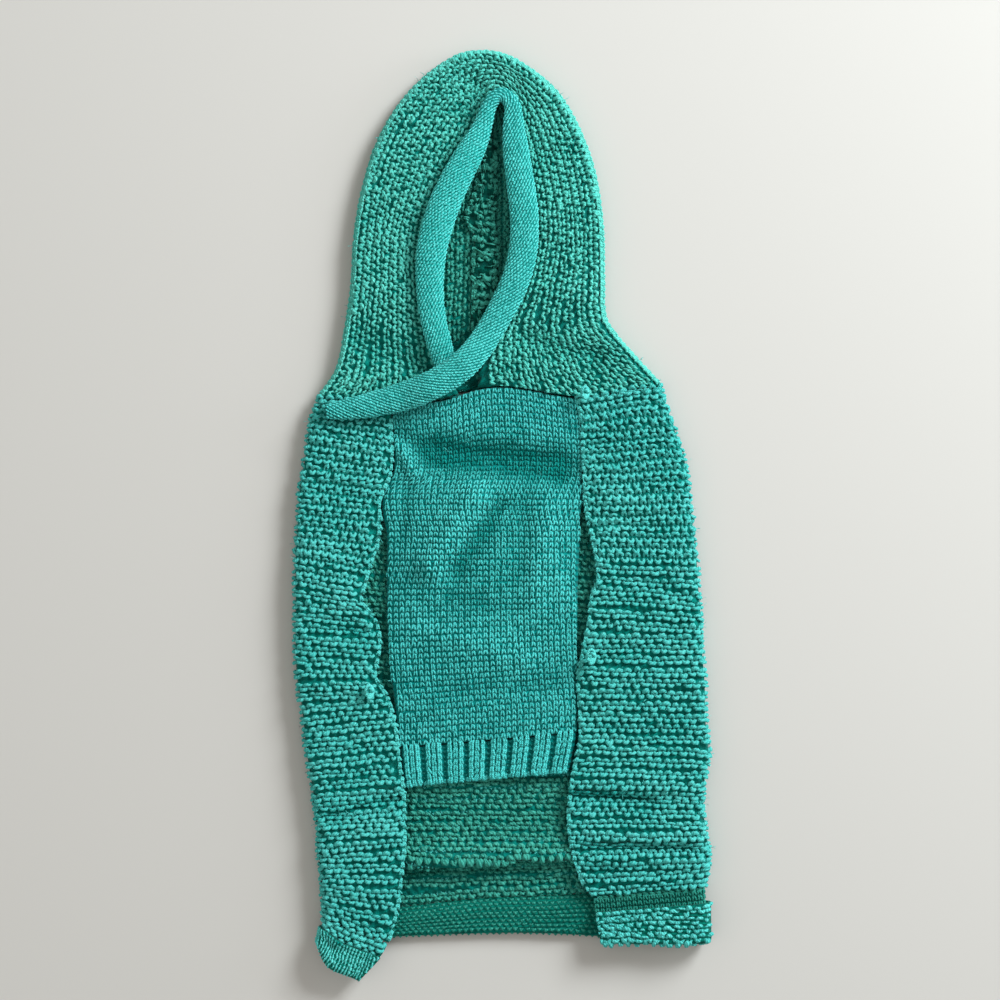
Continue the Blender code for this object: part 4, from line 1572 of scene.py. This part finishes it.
# Puckers of the back's lower layer, lifted off the floor
UNDER_FOLDS = rows_of(
    Crease,
    ((-60, 20), (-10, 34), 0.9, 4),
    ((10, 30), (58, 12), 0.8, 5),
    ((-50, -28), (20, -22), 0.8, 4),
    ((-20, -66), (60, -60), 0.9, 3.6),
    ((-58, -92), (-6, -100), 0.8, 4.4),
)
NET_SHARE = 0.34        # share of the flaps' length knitted looser, as an open net
TUCK_LIP = Crease((-37.0, -127.2), (32.0, -123.4), 4.0, 0.5)
LIP_LEAN = 0.85         # how far the lip hangs over, for each mm that it stands up
LIP_RISE = 5.0          # length over which it rises
LIP_FADE = 8.0          # length over which it fades out at each side
# Tints only, painted light: a painted highlight on the lip's crown and painted shadow at
# its foot
TUCK_SHADES = rows_of(
    Crease,
    ((-37, -124.4), (32, -120.6), 2.2, 1.6),
    ((-37, -131.2), (32, -127.4), -3, 1.3),
)
TUCK_RIDGES = rows_of(
    Crease,
    ((-34, -134.4), (25, -132), 0.5, 1.2),
    ((-34, -138), (25, -136.6), 0.5, 1.2),
)
BELLY_FOLDS = rows_of(
    Crease,
    ((-38, 30), (-22, 22), -1.3, 4),  # hollow under the band
    ((-24, 23.5), (20, 18), -2.8, 6.6),  # trough across
    ((-10, 7), (-27, -17), 2.6, 5),  # bulge
    ((-1, 4), (-17, -21), -2, 4),  # hollow beside it
    ((-35, 10), (-37, -8), -1, 2.6),
    ((-38.5, 27), (-32.5, 17), 1.5, 2.2),  # welt by the flap, tinted lighter as a painted highlight
    ((20, -20), (26, -34), 1, 3),
    ((16, 2), (12, -34), 0.9, 5),
    ((-30, -42), (8, -52), 0.9, 5),
    ((-20, -30), (10, -36), -0.8, 4.5),
    ((-22, -64), (18, -62), -0.7, 4),
)
HOOD_FOLDS = rows_of(
    Crease,
    ((-54, 66), (-30, 56), -1.1, 5),
    ((-46, 84), (-30, 80), 0.8, 4),
    ((8, 66), (34, 60), -1.1, 3.4),
    ((-8, 160), (-10, 140), -1, 3),
    ((-14, 150), (-22, 128), -0.9, 3),
    ((-50, 112), (-30, 108), -0.6, 4),
    ((14, 134), (26, 138), -0.7, 3),
    ((12, 100), (36, 98), -0.6, 4),
    ((12, 84), (36, 82), 0.7, 4),
)
HEM_FOLDS = rows_of(
    Crease,
    ((-65, -153.6), (-60.5, -157), -1, 1.1),  # the curled left corner
    ((-60.5, -157), (-56, -158.2), -1, 1.1),
    ((-48.5, -160.4), (-52.4, -168.2), -1, 1.1),
    ((-60, -163), (-54, -165), 0.6, 3),
)

# Where the left corner swells out: its middle, its direction, how far, how wide
CORNER = Crease((-61.0, -163.0), (-0.8, -0.6), 5.0, 8.5)


def lip_height(points: np.ndarray) -> np.ndarray:
    """Rise of the pleat's lip: slow from above, sheer below.

    Args:
        points: places in plan.

    Returns:
        The rise of each place, in mm.
    """
    above = above_line(points, TUCK_LIP)
    lead = np.exp(-np.maximum(above, 0) / LIP_RISE)
    sheer = smooth_step((above + TUCK_LIP.width) / TUCK_LIP.width)
    inside = (smooth_step((points[..., 0] - TUCK_LIP.start[0]) / LIP_FADE + 0.5)
              * smooth_step((TUCK_LIP.end[0] - points[..., 0]) / LIP_FADE + 0.5))
    return TUCK_LIP.height * lead * sheer * inside


@dataclass
class BackPanel(Piece):
    """The back with its two flaps: one piece in garter stitch."""

    grid: np.ndarray
    fineness: int = 3
    inset: float = 1.0          # how deep the cloth lies under the stitches
    pitch: float = 3.15         # from stitch to stitch, in mm
    ridge: float = 4.15         # from ridge to ridge
    lower_ridge: float = 4.1    # the same below the belly panel
    under: tuple = (3.7, 4.8)   # pitch and ridge of the hidden underside
    # Shares of the length in which the inside shows
    below_belly: tuple = (0.74, 1.0)
    left_gap: tuple = (0.24, 0.62)
    right_gap: tuple = (0.18, 0.62)

    def shape(self, fineness: int) -> np.ndarray:
        """Refine the grid and lay the finer creases into both layers.

        Args:
            fineness: how many steps each step of the grid is split into.

        Returns:
            The refined grid.
        """
        points = refine(self.grid, fineness)
        plan, side = points[..., :2], from_side(points, fineness)
        top = smooth_step((BODY_STEPS[0] + BLEND / 2 - side) / BLEND)
        low = smooth_step((side - BODY_STEPS[0] - BODY_STEPS[1] + 0.2) / BLEND)
        points[..., 2] += crease_height(plan, BACK_FOLDS) * top
        lip = lip_height(plan) * low
        points[..., 2] += crease_height(plan, UNDER_FOLDS + TUCK_RIDGES) * low + lip
        points[..., 1] -= lip * LIP_LEAN
        return points

    def build(self) -> None:
        """Make the cloth and the garter ridges on all its sides."""
        points, coarse = self.shape(self.fineness), Surface(self.shape(2), OUTER)
        cloth = make_cloth("back_cloth", coarse, WALL / 2 - self.inset,
                           WALL - self.inset * 1.6)
        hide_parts("back_panel")
        self.dress(cloth, GARTER_GROUND, "garter_knit")
        surface = Surface(points, OUTER)
        self.knit_flaps(surface)
        self.knit_inside(Surface(points, INNER))
        first, last = self.fold() + 2 * self.fineness, surface.columns - 1
        bed = Bed(surface, self.stitches[Knit.HIDDEN], *self.under, first, last - first,
                  last / 2, last / 2, WALL / 2 - self.inset, margin=(-0.6, -0.6),
                  **LOOSE)
        self.knit("back_under_stitches", [bed], 14, GARTER_YARN, "garter_knit")

    def fold(self) -> float:
        """Column of the refined grid that runs along the left fold."""
        return (BODY_STEPS[0] + BODY_STEPS[1] / 2) * self.fineness

    def knit_flaps(self, surface: Surface) -> None:
        """Knit the flaps, round their folds, and their edges.

        Args:
            surface: the outer side of the piece.
        """
        steps, last, fold = self.fineness, surface.columns - 1, self.fold()
        past, guide = 2 * steps, BODY_STEPS[0] * steps * 0.6
        garter, net = self.stitches[Knit.GARTER], self.stitches[Knit.NET]
        base = WALL / 2 - self.inset + 0.1
        # Painted shade and light: the creases also tint the flaps' stitches, darker in
        # troughs
        creased = {"folds": FLAP_CREASES + BACK_FOLDS, **LOOSE}
        parts = []
        for stitch, rows in ((net, (0.0, NET_SHARE)), (garter, (NET_SHARE, 1.0))):
            parts.append(Bed(surface, stitch, self.pitch, self.ridge, 0, fold + past,
                             guide, fold, base, margin=(0.6, 0.0), rows=rows, **creased))
            parts.append(Bed(surface, stitch, self.pitch, self.ridge, last - fold - past,
                             last, last - guide, last - fold, base, margin=(0.0, 0.6),
                             rows=rows, **creased))
        parts += [along_row(surface, 0.3, columns, garter, self.pitch, base=base)
                  for columns in ((0.5, fold + steps), (last - fold - steps, last - 0.5))]
        self.knit("back_flap_stitches", parts, 11, GARTER_YARN, "garter_knit")
        edges = [along_edge(surface, column, (0.0, 1.0), self.stitches[Knit.CHAIN], 2.5,
                            base=0.25, jitter=0.12) for column in (0.25, last - 0.25)]
        self.knit("back_edge_stitches", edges, 13, EDGE_YARN, "garter_knit")

    def knit_inside(self, inside: Surface) -> None:
        """Knit the inside of the lower layer where it shows.

        Args:
            inside: the inner side of the piece.
        """
        steps, last = self.fineness, inside.columns - 1
        first, middle = (BODY_STEPS[0] + BODY_STEPS[1]) * steps + 1, last / 2
        garter = self.stitches[Knit.GARTER]
        base = WALL / 2 - self.inset * 0.6 - 0.1
        # Painted shade and light: the puckers, the tuck's ridges and its painted
        # highlight and shadow tint these stitches
        beds = [
            Bed(inside, garter, self.pitch, self.lower_ridge, first, last - first,
                middle, middle, base, rows=self.below_belly, fold_shade_and_light=0.22,
                folds=UNDER_FOLDS + TUCK_RIDGES + TUCK_SHADES, **LOOSE),
            Bed(inside, garter, self.pitch, self.ridge, first, middle - 2.0 * steps,
                middle, middle, base, rows=self.left_gap, **LOOSE),
            Bed(inside, garter, self.pitch, self.ridge, middle + 1.6 * steps,
                last - first, middle, middle, base, rows=self.right_gap, **LOOSE),
        ]
        self.knit("back_inside_stitches", beds, 12, INSIDE_YARN, "garter_knit")


@dataclass
class Hood(Piece):
    """The hood: a strip in garter stitch round the face, seamed at the back."""

    grid: np.ndarray
    allowance: np.ndarray
    fineness: int = 3
    inset: float = 0.9          # how deep the cloth lies under the stitches
    pitch: float = 2.95         # from stitch to stitch, in mm
    ridge: float = 3.2          # from ridge to ridge
    under: tuple = (3.3, 3.6)   # pitch and ridge of the hidden underside
    loops: tuple = (3.0, 2.9)   # of the loops on the seam allowance
    rim: float = 2.6            # half the width of the smooth rim at the outline, mm
    cords: tuple = (-1.8, -0.1, 1.6)    # where its cords of stitches lie across it
    widest: float = 1.55        # spread of the ridges past which extra ones are knitted

    def shape(self, fineness: int) -> np.ndarray:
        """Refine the grid and lay the finer creases into its upper layer.

        Args:
            fineness: how many steps each step of the grid is split into.

        Returns:
            The refined grid.
        """
        points = refine(self.grid, fineness)
        columns = np.arange(points.shape[1]) / fineness
        top = smooth_step((HOOD_STEPS[0] + BLEND / 2 - columns) / BLEND)
        points[..., 2] += crease_height(points[..., :2], HOOD_FOLDS) * top
        return points

    def build(self) -> None:
        """Make the cloth, its stitches and the seam allowance inside."""
        points, coarse = self.shape(self.fineness), Surface(self.shape(2), INNER)
        cloth = make_cloth("hood_cloth", coarse, WALL / 2 - self.inset,
                           WALL - self.inset * 1.6)
        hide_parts("hood")
        self.dress(cloth, GARTER_GROUND, "garter_knit")
        self.knit_strip(points)
        self.build_allowance()

    def knit_strip(self, points: np.ndarray) -> None:
        """Knit the strip on top, round its outline, underneath and inside.

        Args:
            points: the refined grid.
        """
        surface = Surface(points, INNER)
        turned, behind = (Surface(points.swapaxes(0, 1), facing)
                          for facing in (OUTER, INNER))
        fold = round((HOOD_STEPS[0] + HOOD_STEPS[1] / 2) * self.fineness)
        last, base = surface.rows - 1, WALL / 2 - self.inset + 0.1
        guide = last * 0.25
        lengths = turned.along_column(guide)
        edge, total = lengths[fold], lengths[-1]
        shared = {"wander": 0.14, "jitter": 0.08, "margin": (0.2, 0.2), "stagger": 0.5}
        # Painted shade and light: the hood's creases tint its stitches, darker in troughs
        parts = [Bed(turned, self.stitches[Knit.HOOD], self.pitch, self.ridge, 0, last,
                     guide, last / 2, base, rows=(0.01, (edge - self.rim) / total),
                     folds=HOOD_CREASES + HOOD_FOLDS, phase=phase, widest=widest,
                     **shared)
                 for phase, widest in ((0.5, 0.0), (1.0, self.widest))]
        across = surface.along_row(last / 2)
        columns = np.arange(surface.columns, dtype=float)
        for offset in self.cords:
            column = float(np.interp(across[fold] + offset, across, columns))
            parts.append(along_edge(surface, column, (0.005, 0.995),
                                    self.stitches[Knit.RIB], 2.3, base=base + 0.3,
                                    jitter=0.04, tint=0.25))
        self.knit("hood_stitches", parts, 21, HOOD_YARN, "garter_knit")
        bed = Bed(turned, self.stitches[Knit.HIDDEN], *self.under, 0, last, guide,
                  last / 2, base, rows=((edge + self.rim) / total, 0.99), **shared)
        self.knit("hood_under_stitches", [bed], 24, HOOD_YARN, "garter_knit")
        start = lengths[surface.columns - 1 - 4 * self.fineness] / total
        bed = Bed(behind, self.stitches[Knit.HOOD], self.pitch, self.ridge,
                  last * 0.08, last * 0.92, guide, last / 2,
                  WALL / 2 - self.inset * 0.6 - 0.1, rows=(start, 0.99), **shared)
        self.knit("hood_inside_stitches", [bed], 22, INSIDE_YARN, "garter_knit")

    def build_allowance(self) -> None:
        """Make the lumpy seam allowance: a cloth with crowded, uneven loops."""
        lump = Surface(self.allowance, INNER, 3)
        seam = make_cloth("hood_seam_cloth", lump, 0.1, ALLOWANCE_WALL * 0.7)
        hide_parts("hood_back_seam")
        self.dress(seam, INSIDE_GROUND, "garter_knit")
        last = lump.columns - 1
        bed = Bed(lump, self.stitches[Knit.HOOD], *self.loops, 0, last, last / 2,
                  last / 2, 0.1, margin=(0.0, 0.0), jitter=0.26, tint=0.15)
        sides = [along_edge(lump, column, (0.0, 1.0), self.stitches[Knit.CHAIN], 2.8,
                            base=0.2, jitter=0.25, tint=0.15)
                 for column in (0.5, last - 0.5)]
        self.knit("hood_seam_stitches", [bed] + sides, 23, INSIDE_YARN, "garter_knit")


@dataclass
class Belly(Piece):
    """The belly panel in stockinette with its ribbed hem."""

    grid: np.ndarray
    rib: np.ndarray
    raised: np.ndarray
    wale: float = 2.2           # from stitch to stitch, in mm
    course: float = 2.1         # from row to row
    overlap: float = 0.7        # how far its sides reach into the seams, in mm
    lift: float = 1.2           # how far its middle puffs up over the solid
    least: float = 3.4          # least height, clear of the layer beneath
    rib_lift: float = 1.1       # how much further the ribs stand up than the solid's
    wales: tuple = (-0.23, 0.0, 0.23)   # places of a rib's wales, in ribs

    def build(self) -> None:
        """Make the belly, the rib and their stitches."""
        points = refine(self.grid, 3)
        across = np.linspace(-1, 1, points.shape[1])
        points[..., 0] += across * self.overlap
        points[..., 2] += self.lift * np.cos(across * math.pi / 2) ** 0.5
        points[..., 2] += crease_height(points[..., :2], BELLY_FOLDS)
        points[..., 2] = np.maximum(points[..., 2], self.least)
        surface = Surface(points, INNER)
        cloth = make_cloth("belly_cloth", surface, 0.25, 0.95)
        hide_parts("belly_panel")
        self.dress(cloth, BELLY_GROUND, "belly_knit")
        last = surface.columns - 1
        # Painted shade and light: its folds tint the stitches darker in troughs, lighter
        # on welts
        bed = Bed(surface, self.stitches[Knit.PLAIN], self.wale, self.course, 0, last,
                  last / 2, last / 2, 0.3, margin=(0.3, 0.3), jitter=0.08,
                  wander=0.08, folds=BELLY_CREASES + BELLY_FOLDS, fold_shade_and_light=0.3)
        self.knit("belly_stitches", [bed], 31, BELLY_YARN, "belly_knit")
        self.build_rib()

    def build_rib(self) -> None:
        """Make the rib: three plain wales to a rib, a groove between."""
        normals = grid_normals(self.rib) * -1
        fine = refine(self.rib + normals * self.raised[..., None] * self.rib_lift, 2)
        surface = Surface(fine, INNER)
        cloth = make_cloth("belly_rib_cloth", surface, 0.25, 0.9)
        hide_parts("belly_rib")
        self.dress(cloth, BELLY_GROUND, "belly_knit")
        last = surface.columns - 1
        step = last / RIB_COUNT
        stitch, groove = self.stitches[Knit.RIB], self.stitches[Knit.GROOVE]
        parts = []
        for index in range(RIB_COUNT):
            centre = (index + 0.5) * step
            for offset in self.wales:
                outer = float(offset != 0)
                parts.append(along_edge(surface, centre + offset * step, (0.0, 1.0),
                                        stitch, self.course, 0.9,
                                        base=0.3 + 0.25 * outer, tint=0.2 * outer))
            if index:
                # Painted shade: the stitches in the groove between ribs are tinted darker
                parts.append(along_edge(surface, index * step, (0.0, 1.0), groove,
                                        1.7, base=0.0, tint=-0.45))
        parts.append(along_row(surface, surface.rows - 1.2, (0.3, last - 0.3),
                               self.stitches[Knit.CHAIN], 2.4, base=0.2, jitter=0.14))
        self.knit("belly_rib_stitches", parts, 32, BELLY_YARN, "belly_knit")


@dataclass
class Band(Piece):
    """The rolled band of fine stockinette round the face."""

    grid: np.ndarray
    wale: float = 1.2
    course: float = 1.25
    slant: float = 0.75         # radians that its wales run askew round the roll
    drift: float = 0.33

    def build(self) -> None:
        """Make the roll and its fine stitches."""
        surface, coarse = Surface(self.grid, INNER, 3), Surface(self.grid, INNER, 2)
        cloth = make_cloth("band_cloth", coarse, 0.25, 0.8)
        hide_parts("hood_band")
        self.dress(cloth, BAND_GROUND, "band_knit")
        last = surface.columns - 1
        bed = Bed(surface, self.stitches[Knit.FINE], self.wale, self.course, 0, last,
                  last / 2, last / 2, 0.12, margin=(1.0, 1.0), jitter=0.07,
                  slant=self.slant, drift=self.drift)
        self.knit("band_stitches", [bed], 41, BAND_YARN, "band_knit")


@dataclass
class TailHem(Piece):
    """The fine hem round the tail edge, turned outwards on itself."""

    grid: np.ndarray
    fineness: int = 3
    # Pitch along a row and spacing of the rows, in mm
    middle: tuple = (2.3, 1.5)          # the purl side, seen below the belly
    curl: tuple = (1.25, 1.3)           # the curled left corner
    flap: tuple = (3.15, 4.0)           # garter stitch that runs on over it
    turned_up: tuple = (3.0, 3.1)       # the turned-up right corner
    strip: tuple = (2.0, 2.0)           # the plain strip above that

    def shape(self) -> np.ndarray:
        """Refine the grid, crease its corners and swell out the left one.

        Returns:
            The refined grid.
        """
        points = refine(self.grid, self.fineness)
        side = from_side(points, self.fineness)
        top = smooth_step((HEM_STEPS[0] + BLEND / 2 - side) / BLEND)
        points[..., 2] += crease_height(points[..., :2], HEM_FOLDS) * top
        off = np.linalg.norm(points[..., :2] - CORNER.start, axis=-1)
        swell = CORNER.height * np.exp(-((off / CORNER.width) ** 2))
        points[..., :2] += swell[..., None] * unit(np.array(CORNER.end))
        return points

    def build(self) -> None:
        """Make the hem's cloth, its purl middle and its two corners."""
        points = self.shape()
        surface, inside = Surface(points, OUTER), Surface(points, INNER)
        cloth = make_cloth("tail_hem_cloth", surface, 0.3, 1.0)
        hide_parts("tail_hem")
        self.dress(cloth, HEM_GROUND, "hem_knit")
        purl, garter = self.stitches[Knit.PURL], self.stitches[Knit.GARTER]
        last = surface.columns - 1
        side = (HEM_STEPS[0] + HEM_STEPS[1] / 2) * self.fineness
        even = {"margin": (0.2, 0.2), "wander": 0.1}
        parts = [Bed(inside, purl, *self.middle, side, last - side, last / 2, last / 2,
                     0.4, rows=(0.0, 0.6), tint=-0.05, stagger=0.5, **even),
                 along_row(inside, 0.0, (side, last - side), purl, 2.6, base=0.5)]
        self.knit("tail_hem_stitches", parts, 51, HEM_YARN, "hem_knit")
        # Painted shade: the corner's creases tint its stitches darker
        parts = [Bed(inside, self.stitches[Knit.FINE], *self.curl, 0, side, 6, 0, 0.6,
                     rows=(0.5, 1.0), tint=0.6, jitter=0.12, drift=0.4,
                     folds=HEM_FOLDS, fold_shade_and_light=0.8, **even),
                 Bed(inside, garter, *self.turned_up, last - side, last, last - 6, last,
                     0.3, rows=(0.5, 1.0), wander=0.25, jitter=0.12),
                 Bed(surface, garter, *self.flap, 0, side, 6, 0, 0.5,
                     rows=(0.0, 0.26), wander=0.15),
                 along_row(surface, 0.0, (0.5, side), garter, self.flap[0], base=0.4)]
        self.knit("tail_hem_turned", parts, 53, EDGE_YARN, "hem_knit")
        parts = [Bed(surface, self.stitches[Knit.PLAIN], *self.strip, last - side, last,
                     last - 6, last, 0.3, rows=(0.0, 0.32), tint=-0.2),
                 along_row(surface, 0.0, (last - side, last - 0.5),
                           self.stitches[Knit.CHAIN], 2.4, base=0.1)]
        self.knit("tail_hem_strip", parts, 52, HEM_YARN, "hem_knit")


class Knot(NamedTuple):
    """A knotted end of yarn: where it sits and how wide it is."""

    x: float
    y: float
    z: float
    size: float


KNOTS = rows_of(Knot, (32.6, -51.5, 10, 2.4), (-49, -64.5, 9.4, 2.2),
                (30.4, 45.5, 10.4, 2))


@dataclass
class LooseEnds(Piece):
    """The knotted ends at the corners and the fibres that stand off the yarn."""

    ground: np.ndarray          # points and normals that the fibres grow from
    normals: np.ndarray
    fibres: int = 1500
    lengths: tuple = (1.5, 4.5)     # of a fibre, in mm
    turns: int = 3                  # of a knot

    def build(self) -> None:
        """Make the knots and the fibres."""
        pile = Pile(61)
        for knot in KNOTS:
            for turn in range(self.turns):
                self.add_loop(pile, knot, turn)
        self.dress(pile.finish("knot_ends"), EDGE_YARN, "garter_knit")
        self.grow_fibres()

    def grow_fibres(self) -> None:
        """Make the fibres: short curved hairs that stand off the knit."""
        pile = Pile(62)
        chance = pile.chance
        share = np.linspace(0, 1, 4)[:, None]
        for index in chance.integers(0, len(self.ground), self.fibres):
            out = unit(self.normals[index] + chance.normal(0, 0.5, 3))
            side = unit(chance.normal(0, 1, 3))
            length = chance.uniform(*self.lengths)
            path = (share * out * length * 0.6
                    + np.sin(share * math.pi * 0.6) * side * length * 0.5)
            hair = Stitch([path], 0.06, 3)
            pile.add(hair, (self.ground[index] + hair.points)[None], 0.3)
        self.dress(pile.finish("loose_fibres"), EDGE_YARN, "garter_knit")

    def add_loop(self, pile: Pile, knot: Knot, turn: int) -> None:
        """Add one turn of a knot to a pile.

        Args:
            pile: where it goes.
            knot: the knot.
            turn: its number, from the inside out.
        """
        angle = np.linspace(0, 1.7 * math.pi, 10) + turn * 2.1
        tilt = 0.5 + 0.4 * turn
        path = np.column_stack((np.cos(angle) * knot.size * 0.6,
                                np.sin(angle) * knot.size * (0.5 + 0.3 * turn),
                                np.sin(angle * 1.5 + tilt) * 0.7 + 0.3 * turn))
        loop = Stitch([path], 0.62, 5)
        pile.add(loop, (np.array((knot.x, knot.y, knot.z)) + loop.points)[None], 0.2)


@dataclass
class Studio:
    """The pale floor, the soft light and the camera straight above."""

    height: float = 0.905
    plane: float = 0.005        # height at which the coat fills the frame
    frame_width: float = 0.370
    aim: tuple = (-0.00111, 0.005365)   # place that the camera stands over
    sensor: float = 36.0
    floor_size: float = 15.0    # half its width, so that no view sees its edge
    ambient: float = 0.45

    def build(self) -> None:
        """Make the floor, the lights and the camera."""
        mesh = bmesh.new()
        bmesh.ops.create_grid(mesh, x_segments=1, y_segments=1, size=self.floor_size)
        data = bpy.data.meshes.new("floor")
        mesh.to_mesh(data)
        mesh.free()
        floor = bpy.data.objects.new("floor", data)
        bpy.context.scene.collection.objects.link(floor)
        # Painted board: matt and even, with only a soft shadow on it
        material = bpy.data.materials.new("pale_floor")
        material.use_nodes = True
        shader = material.node_tree.nodes["Principled BSDF"]
        shader.inputs["Base Color"].default_value = (*linear("#c6c3be"), 1.0)
        shader.inputs["Roughness"].default_value = 0.8
        data.materials.append(material)
        world = bpy.data.worlds.new("studio")
        world.use_nodes = True
        sky = world.node_tree.nodes["Background"]
        sky.inputs[0].default_value = (1, 0.985, 0.95, 1)
        sky.inputs[1].default_value = self.ambient
        bpy.context.scene.world = world
        bpy.context.scene.view_settings.view_transform = "Standard"
        self.light("window", (0.82, 0.76, 0.66), 0.5, 23.5, (0.91, 0.97, 1.0))
        self.light("rim", (1.15, 0.25, 0.28), 0.4, 4.0, (0.85, 0.95, 1.0))
        self.light("fill", (-0.7, -0.3, 0.9), 1.2, 2.0, (1.0, 0.97, 0.92))
        camera = bpy.data.objects.new("camera", bpy.data.cameras.new("camera"))
        distance = self.height - self.plane
        camera.data.sensor_width = self.sensor
        camera.data.lens = self.sensor * distance / self.frame_width
        camera.location = (*self.aim, self.height)
        bpy.context.scene.collection.objects.link(camera)
        bpy.context.scene.camera = camera

    def light(self, name: str, place: tuple, size: float, power: float,
              colour: tuple) -> None:
        """Add a square soft light that points at the coat.

        Args:
            name: of the light.
            place: where it stands, in metres.
            size: of its side.
            power: in watts.
            colour: its linear colour.
        """
        lamp = bpy.data.objects.new(name, bpy.data.lights.new(name, "AREA"))
        lamp.data.size = size
        lamp.data.energy = power
        lamp.data.color = colour
        lamp.location = place
        lamp.rotation_euler = (-Vector(place)).to_track_quat("-Z", "Y").to_euler()
        bpy.context.scene.collection.objects.link(lamp)


def main() -> None:
    """Build the coat piece by piece."""
    logging.basicConfig(level=logging.INFO)
    back = shape_back(back_grid())
    hood = hood_grid()
    belly = belly_grid(back)
    rib, raised = rib_grid(belly, back)
    low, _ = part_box("belly_rib")
    shift = Vector((low[0] - rib[..., 0].min() * MM, low[1] - rib[-1, 0, 1] * MM, 0))
    shared = (make_stitches(), shift)
    BackPanel(*shared, back).build()
    Hood(*shared, hood, allowance_grid()).build()
    Belly(*shared, belly, rib, raised).build()
    Band(*shared, band_grid(*band_path(hood, back))).build()
    TailHem(*shared, hem_grid()).build()
    coats = [Surface(back, OUTER, 2), Surface(hood, INNER, 2), Surface(belly, INNER, 2)]
    LooseEnds(*shared, np.concatenate([s.points.reshape(-1, 3) for s in coats]),
              np.concatenate([s.normals.reshape(-1, 3) for s in coats])).build()
    Studio().build()


if __name__ == "__main__":
    main()
